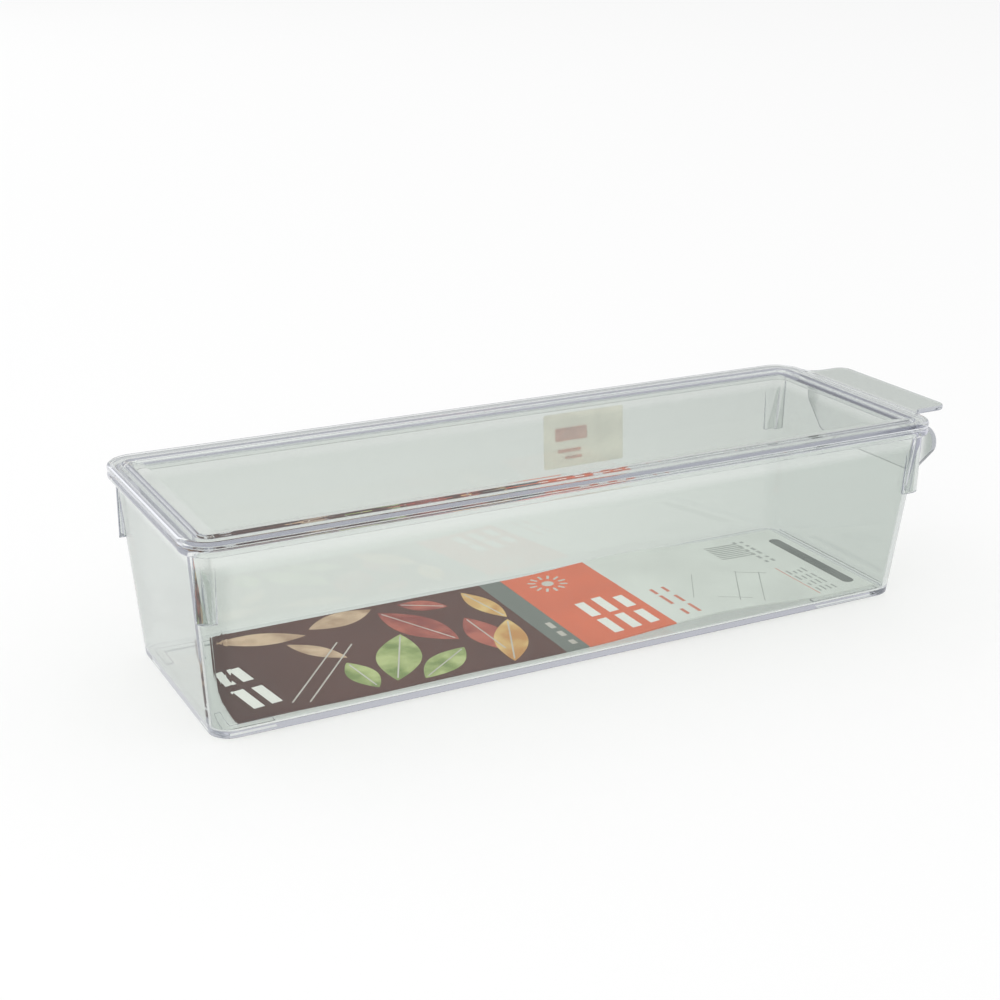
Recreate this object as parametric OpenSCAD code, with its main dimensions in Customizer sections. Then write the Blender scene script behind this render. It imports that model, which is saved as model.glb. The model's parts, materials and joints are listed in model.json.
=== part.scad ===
// Clear refrigerator drawer organizer: a long drafted bin with a rolled rim, corner stops and a
// drop-down pull, and a plug-in lid with a finger tab above the pull.
// X runs along the bin towards the pull, Y across it, Z up. Millimetres.
// The origin is on the standing plane, under the middle of the whole length with the tab.

/* [Bin] */
// Length of the rim along X, without the lid's tab
rim_l = 306; // [240:1:380]
// Width of the rim across Y
rim_w = 100; // [80:1:160]
// Height of the rim's top face above the standing plane
rim_top = 72.2; // [55:0.1:120]
// Corner radius of the rim in plan
rim_r = 11; // [9:0.5:18]
// How far the rim stands out from the wall
rim_out = 3; // [2:0.1:5]
// Height of the rim's rolled edge
rim_h = 2.7; // [2.2:0.1:4]
// Radius on the rim's outer edges
rim_round = 1; // [0.4:0.1:1.1]
// Thickness of the walls
wall = 1.8; // [1.2:0.1:2.4]
// Thickness of the floor
floor_t = 2.2; // [1.6:0.1:3]
// How far each end wall leans in from the rim to the base
draft_x = 5.4; // [3:0.1:10]
// How far each long wall leans in from the rim to the base
draft_y = 4.8; // [2:0.1:8]
// Bevel around the base's lower edge
base_bevel = 1.2; // [0.6:0.1:1.6]

/* [Corner stops] */
// Length of the back stops' legs along X, from the corner
stop_back = 6.5; // [5:0.5:14]
// Length of the front stops' legs along X, from the corner
stop_front = 9.5; // [5:0.5:14]
// Length of each stop's leg along Y, from the corner
stop_ly = 3.5; // [3:0.5:10]
// Radius of each stop's corner, tighter than the wall's
stop_r = 5; // [3:0.5:8]
// How far the stops reach down from the rim's top
stop_drop = 26.7; // [22:0.1:38]
// How far the stops' faces stand in from the wall's face under the rim
stop_in = 0.3; // [0:0.1:0.8]
// Thickness of the stops' skin
stop_t = 1.3; // [1:0.1:1.6]

/* [Feet] */
// Height of the stacking feet
foot_h = 1; // [0.6:0.1:1.6]
// Width of each foot's ridge
foot_w = 3; // [2:0.1:5]
// Length along X of the two feet at the back end
foot_back = 18; // [12:1:30]
// Length along X of the two feet at the pull end
foot_front = 32; // [12:1:40]
// Length along Y of every foot
foot_ly = 14; // [10:1:20]

/* [Pull] */
// How far each side of the pull's neck stands in from the end of the rim's straight edge
neck_side = 5.5; // [5:0.5:14]
// How far the hanging grip reaches past the neck on each side
grip_over = 6.5; // [3:0.5:9]
// How far each end of the grip's flat lower edge stands in from the grip's widest part
grip_in = 13.5; // [9:0.5:18]
// Drop from the rim's top face to the grip's widest part
grip_drop = 10.4; // [9:0.1:13]
// Drop from the rim's top face to the grip's lower edge
grip_low = 25; // [21:0.5:28]
// Radius of the grip's four corners
grip_r = 6; // [4:0.5:7]
// How far the grip hangs out past the rim
grip_out = 8.5; // [8:0.5:14]
// Thickness of the pull
pull_t = 2.2; // [1.6:0.1:2.6]
// Outer radius where the pull turns down
pull_bend = 6.5; // [4:0.1:8]
// Radius where the pull's neck runs into the rim
neck_fillet = 5; // [2:0.5:5]

/* [Lid] */
// Height of the lid's edge, from the rim to its top face
lid_h = 2.8; // [2.4:0.1:4]
// Thickness of the lid's border
border_t = 1.8; // [1.4:0.1:2.2]
// Thickness of the lid's panel
panel_t = 1.8; // [1.4:0.1:2.4]
// Width of the bearing skirt under the lid's edge
skirt_w = 2; // [1.4:0.1:3]
// Radius on the lid's upper edge
lid_round = 1.2; // [0.4:0.1:1.3]
// Radius on the lid's lower edge
skirt_round = 0.8; // [0.3:0.1:0.9]
// Width of the flat border around the recessed panel
border_w = 7.8; // [6:0.1:12]
// Width of the slope from the border down to the panel
slope_w = 4.8; // [1:0.1:8]
// Depth of the panel's recess, which the next organizer's feet stand in
recess_d = 0.9; // [0.5:0.1:1.2]
// Clearance between the feet of the next organizer and the recess
stack_gap = 0.9; // [0.4:0.1:2]
// Depth of the plug lip below the rim's top face
lip_d = 4; // [2:0.1:8]
// Thickness of the plug lip
lip_t = 1.4; // [1:0.1:2]
// Clearance between the plug lip and the bin's wall, level with the lip's lower edge
lip_gap = 0.45; // [0.3:0.05:1]

/* [Tab] */
// How far the tab reaches past the rim
tab_out = 19; // [12:1:30]
// How far each side of the tab stands in from the end of the rim's straight edge
tab_side = 6; // [6:0.5:18]
// Thickness of the tab
tab_t = 2; // [1.4:0.1:2.4]
// Radius of the tab's outer corners
tab_r = 5; // [2:0.5:8]
// Radius where the tab runs into the lid
tab_fillet = 6; // [3:0.5:6]

/* [Insert card] */
// Clearance between the loose card and each long edge of the flat floor
card_side = 3.7; // [1:0.1:14]
// Clearance between the card and the floor's back end
card_back = 7.1; // [1:0.1:60]
// Clearance between the card and the floor's end at the pull
card_front = 3.1; // [1:0.1:60]
// Thickness of the card
card_t = 0.5; // [0.3:0.1:1]
// How high the card's bulge stands off the floor
card_rise = 2.6; // [0:0.1:5]
// Distance along X from the card's middle to the bulge's middle
bulge_x = 58; // [-60:1:60]
// Length of the bulge along X
bulge_l = 110; // [60:1:140]
// Radius of the card's curved back edge, which runs square into its near edge
card_r = 250; // [150:5:400]

/* [Label] */
// Length of the price label on the far wall
label_l = 38; // [20:1:60]
// Height of the label
label_h = 23; // [12:0.5:26]
// Thickness of the label
label_t = 0.2; // [0.1:0.05:0.4]
// How far the label's middle hangs below the rim's top
label_drop = 17.6; // [16.2:0.1:37.2]
// Distance along X from the rim's end at the pull to the label's middle
label_in = 105.5; // [50:0.5:190]

/* [Hidden] */
$fn = 48;
// The whole length with the tab is centred on the origin
shift_x = -tab_out / 2;
// Corner centres shared by the rim, walls, stops and lid
cx = rim_l / 2 - rim_r;
cy = rim_w / 2 - rim_r;
// Wall's outer faces under the rim, and the radius there and at the base
wall_r = rim_r - rim_out;
wall_x = rim_l / 2 - rim_out;
wall_y = rim_w / 2 - rim_out;
base_x = wall_x - draft_x;
base_y = wall_y - draft_y;
// Heights where the walls' straight draft starts and ends
draft_z0 = foot_h + base_bevel;
draft_z1 = rim_top - rim_h;
floor_z = foot_h + floor_t;
stop_z = rim_top - stop_drop;
// Half sizes of the flat floor, and the card that lies on it
floor_x = base_x - wall - base_bevel;
floor_y = base_y - wall - base_bevel;
card_l = 2 * floor_x - card_back - card_front;
card_w = 2 * (floor_y - card_side);
card_x = (card_back - card_front) / 2;
// How far the walls lean in at a height z
function lean(z, d) = d * (draft_z1 - min(z, draft_z1)) / (draft_z1 - draft_z0);
grip_x = rim_l / 2 + grip_out;
neck_w = 2 * (cy - neck_side);
grip_w = neck_w + 2 * grip_over;
tab_w = 2 * (cy - tab_side);
lid_top = rim_top + lid_h;
lip_z = rim_top - lip_d;
lip_x = wall_x - wall - lean(lip_z, draft_x) - lip_gap;
lip_y = wall_y - wall - lean(lip_z, draft_y) - lip_gap;
lip_r = wall_r - wall;
// Recess of the lid, at the bottom of its slope
seat_x = rim_l / 2 - border_w - slope_w;
seat_y = rim_w / 2 - border_w - slope_w;
foot_x = min(seat_x - stack_gap, base_x - base_bevel - 1);
foot_y = min(seat_y - stack_gap, base_y - base_bevel - 1);
clear = [0.84, 0.87, 0.85, 0.45];

// Rounded rectangle with half sizes x and y
module rounded(x, y, r) {
    square([2 * x, 2 * (y - r)], center = true);
    square([2 * (x - r), 2 * y], center = true);
    for (i = [-1, 1], j = [-1, 1]) translate([i * (x - r), j * (y - r)]) circle(r);
}

// Sweeps a profile around a rounded rectangle. The profile's x is the distance out from the
// corner centres, which lie at px and py.
module around(px, py) {
    for (k = [0 : 3]) {
        a = k % 2 == 0 ? px : py;
        b = k % 2 == 0 ? py : px;
        rotate([0, 0, 90 * k]) {
            translate([a, b, 0]) rotate_extrude(angle = 90) children();
            translate([a, b, 0]) rotate([90, 0, 0]) linear_extrude(2 * b) children();
        }
    }
}

// Rectangle from a to b whose two corners on the b side are rounded, one radius each
module edge_profile(a, b, z0, z1, r_low, r_top) {
    difference() {
        translate([a, z0]) square([b - a, z1 - z0]);
        translate([b - r_low, z0]) square([r_low + 1, r_low]);
        translate([b - r_top, z1 - r_top]) square([r_top + 1, r_top + 1]);
    }
    translate([b - r_low, z0 + r_low]) circle(r_low);
    translate([b - r_top, z1 - r_top]) circle(r_top);
}

// Straight-sided block whose four sides slope evenly: half sizes at z0 and at z1
module sloped_block(x0, y0, z0, x1, y1, z1) {
    intersection() {
        rotate([90, 0, 0]) linear_extrude(4 * max(y0, y1), center = true)
            polygon([[-x0, z0], [x0, z0], [x1, z1], [-x1, z1]]);
        rotate([90, 0, 90]) linear_extrude(4 * max(x0, x1), center = true)
            polygon([[-y0, z0], [y0, z0], [y1, z1], [-y1, z1]]);
    }
}

// Drafted tub with rounded corners. inset is 0 for its outer form and the wall for its hollow.
module tub(inset, z_floor, z_bevel, z_top) {
    r = wall_r - inset;
    hull($fn = 32) {
        translate([0, 0, z_floor]) linear_extrude(0.3)
            rounded(base_x - inset - base_bevel, base_y - inset - base_bevel, r);
        translate([0, 0, z_bevel]) linear_extrude(0.4)
            rounded(base_x - inset, base_y - inset, r);
        translate([0, 0, draft_z1]) linear_extrude(z_top - draft_z1)
            rounded(wall_x - inset, wall_y - inset, r);
    }
}

// Corner stop at +X +Y with its leg's length along X: a skin that hangs straight while the wall
// leans away behind it, closed against the wall at each leg's end
module corner_stop(len_x) {
    x = wall_x - stop_in;
    y = wall_y - stop_in;
    translate([0, 0, stop_z]) linear_extrude(rim_top - rim_round - stop_z) intersection() {
        rounded(x, y, stop_r);
        union() {
            difference() {
                translate([x - len_x, y - stop_ly]) square([len_x, stop_ly]);
                rounded(x - stop_t, y - stop_t, stop_r - stop_t);
            }
            translate([x - len_x, base_y]) square([stop_t, y - base_y]);
            translate([base_x, y - stop_ly]) square([x - base_x, stop_t]);
        }
    }
}

// L-shaped foot at +X +Y, seen in plan
module foot(len_x) {
    translate([foot_x - len_x, foot_y - foot_w]) square([len_x, foot_w]);
    translate([foot_x - foot_w, foot_y - foot_ly]) square([foot_w, foot_ly]);
}

// Side view of the pull: out of the rim, around the bend and straight down
module pull_profile() {
    bx = grip_x - pull_bend;
    bz = rim_top - pull_bend;
    translate([wall_x - wall / 2, rim_top - pull_t]) square([bx - wall_x + wall / 2, pull_t]);
    difference() {
        intersection() {
            translate([bx, bz]) circle(pull_bend);
            translate([bx, bz]) square(pull_bend);
        }
        translate([bx, bz]) circle(pull_bend - pull_t);
    }
    translate([grip_x - pull_t, rim_top - grip_low])
        square([pull_t, grip_low - pull_bend]);
}

// Front view of the pull: a grip hanging from a narrower neck, widest near its top and slanting
// in to a flat lower edge, with four round corners
module pull_front() {
    u = [grip_w / 2 - grip_r, rim_top - grip_drop];
    v = [grip_w / 2 - grip_in, rim_top - grip_low + grip_r];
    n = grip_r * [u[1] - v[1], v[0] - u[0]] / norm(u - v);
    translate([-neck_w / 2, v[1]]) square([neck_w, rim_top + 1 - v[1]]);
    for (i = [0, 1]) mirror([i, 0]) {
        polygon([[0, u[1] + grip_r], u + [0, grip_r], u + n, v + n, v - [0, grip_r],
            [0, v[1] - grip_r]]);
        translate(u) circle(grip_r);
        translate(v) circle(grip_r);
    }
}

// Square corner with a round bite out of it, for the inside corner where a tab meets an edge
module inside_fillet(r) {
    difference() {
        square(r);
        translate([r, r]) circle(r);
    }
}

module pull() {
    intersection() {
        rotate([90, 0, 0]) linear_extrude(grip_w + 2, center = true) pull_profile();
        rotate([90, 0, 90]) linear_extrude(grip_x + 1) pull_front();
    }
    for (j = [0, 1]) mirror([0, j, 0])
        translate([rim_l / 2 - rim_round, neck_w / 2, rim_top - pull_t])
            linear_extrude(pull_t) inside_fillet(neck_fillet);
}

// Moulded bin: drafted tub, rolled rim, corner stops, feet and pull in one piece
module bin() {
    color(clear) translate([shift_x, 0, 0]) {
        difference() {
            union() {
                tub(0, foot_h, draft_z0, rim_top);
                around(cx, cy) edge_profile(wall_r - wall / 2, rim_r, draft_z1, rim_top,
                    rim_round, rim_round);
                for (j = [0, 1]) mirror([0, j, 0]) {
                    corner_stop(stop_front);
                    mirror([1, 0, 0]) corner_stop(stop_back);
                }
                pull();
            }
            tub(wall, floor_z, floor_z + base_bevel, rim_top + 1);
        }
        linear_extrude(foot_h + floor_t / 2) for (j = [0, 1]) mirror([0, j, 0]) {
            foot(foot_front);
            mirror([1, 0, 0]) foot(foot_back);
        }
    }
}

// Plan of the lid's tab
module tab_plan() {
    x0 = rim_l / 2 - lid_round - 0.5;
    x1 = rim_l / 2 + tab_out;
    translate([x0, -tab_w / 2]) square([x1 - tab_r - x0, tab_w]);
    translate([x0, -tab_w / 2 + tab_r]) square([x1 - x0, tab_w - 2 * tab_r]);
    for (j = [-1, 1]) translate([x1 - tab_r, j * (tab_w / 2 - tab_r)]) circle(tab_r);
    for (j = [0, 1]) mirror([0, j]) translate([rim_l / 2 - 0.3, tab_w / 2])
        inside_fillet(tab_fillet);
}

// Moulded lid: bordered plate with a recessed panel, bearing skirt, plug lip and tab
module lid() {
    under = lid_top - border_t;
    color(clear) translate([shift_x, 0, 0]) difference() {
        union() {
            translate([0, 0, under]) linear_extrude(border_t) rounded(cx + 6, cy + 6, 6);
            around(cx, cy) {
                edge_profile(rim_r - skirt_w, rim_r, rim_top, lid_top, skirt_round, lid_round);
                translate([2, under]) square([rim_r - skirt_w, border_t]);
            }
            around(lip_x - lip_r, lip_y - lip_r)
                translate([lip_r - lip_t, lip_z]) square([lip_t, under + 0.4 - lip_z]);
            sloped_block(seat_x + recess_d, seat_y + recess_d, lid_top - recess_d - panel_t,
                seat_x + slope_w + recess_d, seat_y + slope_w + recess_d, under + 0.01);
            translate([0, 0, lid_top - tab_t]) linear_extrude(tab_t) tab_plan();
        }
        sloped_block(seat_x, seat_y, lid_top - recess_d,
            seat_x + slope_w * 2, seat_y + slope_w * 2, lid_top + recess_d);
    }
}

// Height of the loose card's lower face over the floor, x from the card's middle
function card_lift(x) =
    abs(x - bulge_x) < bulge_l / 2
        ? card_rise * (1 + cos(360 * (x - bulge_x) / bulge_l)) / 2 : 0;

// Loose printed card that came with the organizer, bulging a little off the floor
module insert_card() {
    n = 40;
    xs = [for (k = [0 : n]) -card_l / 2 + card_l * k / n];
    color([0.42, 0.36, 0.34]) translate([shift_x + card_x, 0, floor_z]) intersection() {
        rotate([90, 0, 0]) linear_extrude(card_w, center = true) polygon(concat(
            [for (x = xs) [x, card_lift(x)]],
            [for (k = [0 : n]) [xs[n - k], card_lift(xs[n - k]) + card_t]]));
        translate([0, 0, -1]) linear_extrude(card_rise + card_t + 2) intersection() {
            square([card_l + 2, card_w + 2], center = true);
            translate([card_r - card_l / 2, -card_w / 2]) circle(card_r, $fn = 96);
        }
    }
}

// Shop's price label, flat on the far wall's outer face
module price_label() {
    a = atan(draft_y / (draft_z1 - draft_z0 - 0.4));
    label_x = rim_l / 2 - label_in;
    label_z = rim_top - label_drop;
    y = wall_y - draft_y * (draft_z1 - label_z) / (draft_z1 - draft_z0 - 0.4);
    color([0.80, 0.76, 0.72]) translate([shift_x + label_x, y, label_z]) rotate([-a, 0, 0])
        translate([0, label_t / 2 + 0.02, 0]) cube([label_l, label_t, label_h], center = true);
}

bin();
lid();
insert_card();
price_label();
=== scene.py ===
"""Looks of a clear fridge drawer organizer: moulded bin, plug-in lid, loose card and shop label.

Every size is in millimetres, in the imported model's frame: +X runs along the bin to its pull, +Z is up
and the bin stands on z = 0. The bin's own middle lies at x = BIN_MIDDLE, because the frame is centred
on the whole length with the lid's tab. Sizes inside a material are in metres, as Object coordinates are.
"""

from __future__ import annotations

import json
import logging
import math
from dataclasses import dataclass
from enum import Enum
from typing import Any, Iterable

import bmesh
import bpy
from mathutils import Matrix, Vector

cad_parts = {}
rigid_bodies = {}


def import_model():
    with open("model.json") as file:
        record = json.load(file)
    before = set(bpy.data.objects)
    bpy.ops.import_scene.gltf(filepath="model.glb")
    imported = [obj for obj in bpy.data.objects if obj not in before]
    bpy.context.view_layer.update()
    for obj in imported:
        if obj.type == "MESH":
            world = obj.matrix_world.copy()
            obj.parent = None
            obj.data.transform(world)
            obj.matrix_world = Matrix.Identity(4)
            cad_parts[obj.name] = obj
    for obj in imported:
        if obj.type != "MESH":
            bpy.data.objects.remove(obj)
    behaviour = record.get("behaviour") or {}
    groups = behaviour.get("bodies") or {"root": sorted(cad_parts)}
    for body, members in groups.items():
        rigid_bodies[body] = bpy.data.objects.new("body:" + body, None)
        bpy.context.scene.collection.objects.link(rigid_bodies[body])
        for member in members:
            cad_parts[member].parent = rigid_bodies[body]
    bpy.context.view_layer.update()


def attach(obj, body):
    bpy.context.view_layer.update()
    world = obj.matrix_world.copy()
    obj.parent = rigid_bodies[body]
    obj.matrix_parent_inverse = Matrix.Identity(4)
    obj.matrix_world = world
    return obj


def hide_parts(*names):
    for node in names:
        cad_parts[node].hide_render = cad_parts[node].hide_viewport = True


LOG = logging.getLogger("organizer")
MM = 0.001
BIN_MIDDLE = -9.5
SMOOTH_STEP = {"interpolation_type": "SMOOTHSTEP"}
COLOURS = {"data_type": "RGBA"}
SHARP_EDGE = 32  # degrees, past which an edge of a moulding shows as one
VARNISH_SHINE = 0.05  # specular level of the varnish over card and ink
FIBRE_DEPTH = 0.00005  # metres that paper fibre stands up

Point = tuple[float, float]
Ring = list[Vector]
Colour = tuple[float, float, float, float]
WHITE: Colour = (1.0, 1.0, 1.0, 1.0)


# ---------------------------------------------------------------------------- shared helpers


def linear(hex_colour: str, level: float = 1.0) -> Colour:
    """Turns an sRGB hex colour into the linear one that shaders take.

    Args:
        hex_colour: Six hex digits, such as "d6dcd7".
        level: What the linear colour is multiplied by.

    Returns:
        Linear red, green and blue, and an alpha of 1.
    """
    parts = [int(hex_colour[i : i + 2], 16) / 255 for i in (0, 2, 4)]
    red, green, blue = (c / 12.92 if c <= 0.04045 else ((c + 0.055) / 1.055) ** 2.4 for c in parts)
    return level * red, level * green, level * blue, 1.0


def add_node(
    tree: bpy.types.NodeTree,
    kind: str,
    settings: dict[str, Any] | None = None,
    inputs: dict[str | int, Any] | None = None,
) -> bpy.types.Node:
    """Adds one node with its settings, values and links.

    Args:
        tree: Tree that gets the node.
        kind: Blender's name of the node type.
        settings: Properties of the node. "stops" gives a colour ramp's positions and linear colours.
        inputs: Value, source socket or source node for each named or numbered input. A node stands
            for its first output in use.

    Returns:
        The new node.
    """
    made = tree.nodes.new(kind)
    for name, value in (settings or {}).items():
        if name != "stops":
            setattr(made, name, value)
            continue
        elements = made.color_ramp.elements
        while len(elements) < len(value):
            elements.new(1.0)
        for element, (position, colour) in zip(elements, value):
            element.position = position
            element.color = colour
    for name, value in (inputs or {}).items():
        if isinstance(value, bpy.types.Node):
            value = next(socket for socket in value.outputs if socket.enabled)
        if isinstance(value, bpy.types.NodeSocket):
            tree.links.new(value, made.inputs[name])
        else:
            made.inputs[name].default_value = value
    return made


def marks_of(size: float) -> float:
    """Scale of a pattern, in marks per metre, whose marks have this size in millimetres."""
    return 1 / (size * MM)


def new_material(name: str) -> tuple[bpy.types.Material, bpy.types.NodeTree]:
    """Makes an empty node material.

    Args:
        name: The finish's name.

    Returns:
        The material and its tree.
    """
    made = bpy.data.materials.new(name)
    made.use_nodes = True
    made.node_tree.nodes.clear()
    return made, made.node_tree


def rounded_box(half_x: float, half_y: float, radius: float, steps: int) -> list[Point]:
    """Points of a rounded rectangle, counterclockwise.

    Args:
        half_x: Half its length.
        half_y: Half its width.
        radius: Its corner radius.
        steps: Chords per corner.

    Returns:
        Its points.
    """
    points: list[Point] = []
    for quarter, (sx, sy) in enumerate(((1, 1), (-1, 1), (-1, -1), (1, -1))):
        centre = (sx * (half_x - radius), sy * (half_y - radius))
        points += arc(centre, radius, 90 * quarter, 90 * quarter + 90, steps)
    return points


def rounded_ring(half_x: float, half_y: float, radius: float, z: float) -> Ring:
    """Rounded rectangle of these half sizes and corner radius round the bin's middle, at height z."""
    return [Vector((BIN_MIDDLE + x, y, z)) for x, y in rounded_box(half_x, half_y, radius, 12)]


def quarter_turn(steps: int) -> list[Point]:
    """Sine and cosine pairs from 0 to 90 degrees."""
    return [(math.sin(math.pi / 2 * k / steps), math.cos(math.pi / 2 * k / steps)) for k in range(steps + 1)]


def arc(centre: Point, radius: float, start: float, end: float, steps: int) -> list[Point]:
    """Points on an arc.

    Args:
        centre: Its centre.
        radius: Its radius.
        start: First angle in degrees.
        end: Last angle in degrees.
        steps: Number of chords.

    Returns:
        Its points, both ends among them.
    """
    angles = [math.radians(start + (end - start) * k / steps) for k in range(steps + 1)]
    return [(centre[0] + radius * math.cos(a), centre[1] + radius * math.sin(a)) for a in angles]


def turned(points: Iterable[Point], centre: Point, degrees: float) -> list[Point]:
    """Points turned about the origin by an angle and then moved to a centre."""
    cos, sin = math.cos(math.radians(degrees)), math.sin(math.radians(degrees))
    return [(centre[0] + x * cos - y * sin, centre[1] + x * sin + y * cos) for x, y in points]


def inset(outline: list[Point], distance: float) -> list[Point]:
    """Moves a counterclockwise outline inwards.

    Args:
        outline: Its points.
        distance: How far in.

    Returns:
        The moved points, as many as there were.
    """
    least_cosine = 0.35  # keeps the points of sharp corners from running away
    moved: list[Point] = []
    for i, (x, y) in enumerate(outline):
        before, after = outline[i - 1], outline[(i + 1) % len(outline)]
        d1 = Vector((x - before[0], y - before[1])).normalized()
        d2 = Vector((after[0] - x, after[1] - y)).normalized()
        n1, n2 = Vector((-d1.y, d1.x)), Vector((-d2.y, d2.x))
        n = (n1 + n2).normalized()
        n = n / max(least_cosine, n.dot(n1))
        moved.append((x + n.x * distance, y + n.y * distance))
    return moved


def plate_rings(outline: list[Point], low: float, high: float, r_low: float, r_high: float) -> list[Ring]:
    """Rings of a flat plate with rounded edges.

    Args:
        outline: Its plan, counterclockwise, in the bin's own coordinates.
        low: Height of its lower face.
        high: Height of its upper face.
        r_low: Radius on its lower edge.
        r_high: Radius on its upper edge, or 0.

    Returns:
        Its rings from the lower face up.
    """
    levels = [(r_low * (1 - s), low + r_low * (1 - c)) for s, c in quarter_turn(3)]
    if r_high:
        levels += [(r_high * (1 - c), high - r_high * (1 - s)) for s, c in quarter_turn(3)]
    else:
        levels.append((0, high))
    return [[Vector((BIN_MIDDLE + x, y, z)) for x, y in inset(outline, d)] for d, z in levels]


def mirrored(outline: list[Point], flip_x: bool, flip_y: bool) -> list[Point]:
    """Mirrors a counterclockwise outline, across the YZ plane, the XZ plane or both, and keeps it so."""
    turned_over = [(-x if flip_x else x, -y if flip_y else y) for x, y in outline]
    return turned_over[::-1] if flip_x != flip_y else turned_over


def linked(name: str, bm: bmesh.types.BMesh) -> bpy.types.Object:
    """Turns a bmesh into a linked object and frees it.

    Args:
        name: Name of the object and its mesh.
        bm: What it is made from.

    Returns:
        The object.
    """
    mesh = bpy.data.meshes.new(name)
    bm.to_mesh(mesh)
    bm.free()
    made = bpy.data.objects.new(name, mesh)
    bpy.context.scene.collection.objects.link(made)
    return made


def skin(bm: bmesh.types.BMesh, rows: list[list[bmesh.types.BMVert]]) -> None:
    """Closes rows of vertices into a solid.

    Args:
        bm: What gets the faces.
        rows: Rows of equal length. The first and the last are capped.
    """
    for low, high in zip(rows, rows[1:]):
        for i in range(len(low)):
            j = (i + 1) % len(low)
            bm.faces.new((low[i], low[j], high[j], high[i]))
    bm.faces.new(rows[0][::-1])
    bm.faces.new(rows[-1])


def loft(name: str, rings: list[Ring]) -> bpy.types.Object:
    """Closes a run of rings into one solid, in metres.

    Args:
        name: Name of the object.
        rings: Rings of equal length, in millimetres.

    Returns:
        The linked object.
    """
    bm = bmesh.new()
    skin(bm, [[bm.verts.new(p * MM) for p in ring] for ring in rings])
    bmesh.ops.remove_doubles(bm, verts=bm.verts, dist=1e-7)
    bmesh.ops.recalc_face_normals(bm, faces=bm.faces)
    return linked(name, bm)


def evaluated_mesh(piece: bpy.types.Object) -> bpy.types.Mesh:
    """Makes a plain mesh of a piece with its modifiers.

    Args:
        piece: The piece, which keeps its own mesh.

    Returns:
        The new mesh.
    """
    graph = bpy.context.evaluated_depsgraph_get()
    graph.update()
    return bpy.data.meshes.new_from_object(piece.evaluated_get(graph))


def apply_modifiers(piece: bpy.types.Object) -> None:
    """Bakes a piece's modifiers into its mesh.

    Args:
        piece: The piece, which keeps no modifier.
    """
    baked = evaluated_mesh(piece)
    piece.modifiers.clear()
    old, piece.data = piece.data, baked
    bpy.data.meshes.remove(old)
    baked.name = piece.name


class Fuse(Enum):
    """What a tool solid does to the solid it meets."""

    JOIN = "UNION"
    CUT = "DIFFERENCE"


def fuse(base: bpy.types.Object, steps: Iterable[tuple[bpy.types.Object, Fuse]]) -> None:
    """Joins and cuts solids into one closed moulding, and removes the tools.

    Args:
        base: Solid that is kept.
        steps: Each tool solid with what it does, in order.
    """
    for tool, way in steps:
        cutter = base.modifiers.new("fuse", "BOOLEAN")
        cutter.operation = way.value
        cutter.solver = "EXACT"
        cutter.object = tool
        apply_modifiers(base)
        bpy.data.objects.remove(tool)


def smooth_by_angle(piece: bpy.types.Object) -> None:
    """Shades a moulding smooth up to SHARP_EDGE, with its flat faces kept flat.

    Args:
        piece: The moulding.
    """
    bm = bmesh.new()
    bm.from_mesh(piece.data)
    bmesh.ops.remove_doubles(bm, verts=bm.verts, dist=2e-7)
    bm.to_mesh(piece.data)
    bm.free()
    piece.data.shade_smooth()
    piece.data.set_sharp_from_angle(angle=math.radians(SHARP_EDGE))
    weighted = piece.modifiers.new("weighted", "WEIGHTED_NORMAL")
    weighted.keep_sharp = True
    weighted.weight = 50
    apply_modifiers(piece)


def dress(piece: bpy.types.Object, *finishes: bpy.types.Material) -> None:
    """Gives a piece its materials.

    Args:
        piece: The piece.
        finishes: Its materials, in slot order.
    """
    piece.data.materials.clear()
    for finish in finishes:
        piece.data.materials.append(finish)


# ---------------------------------------------------------------------------- finishes


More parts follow.
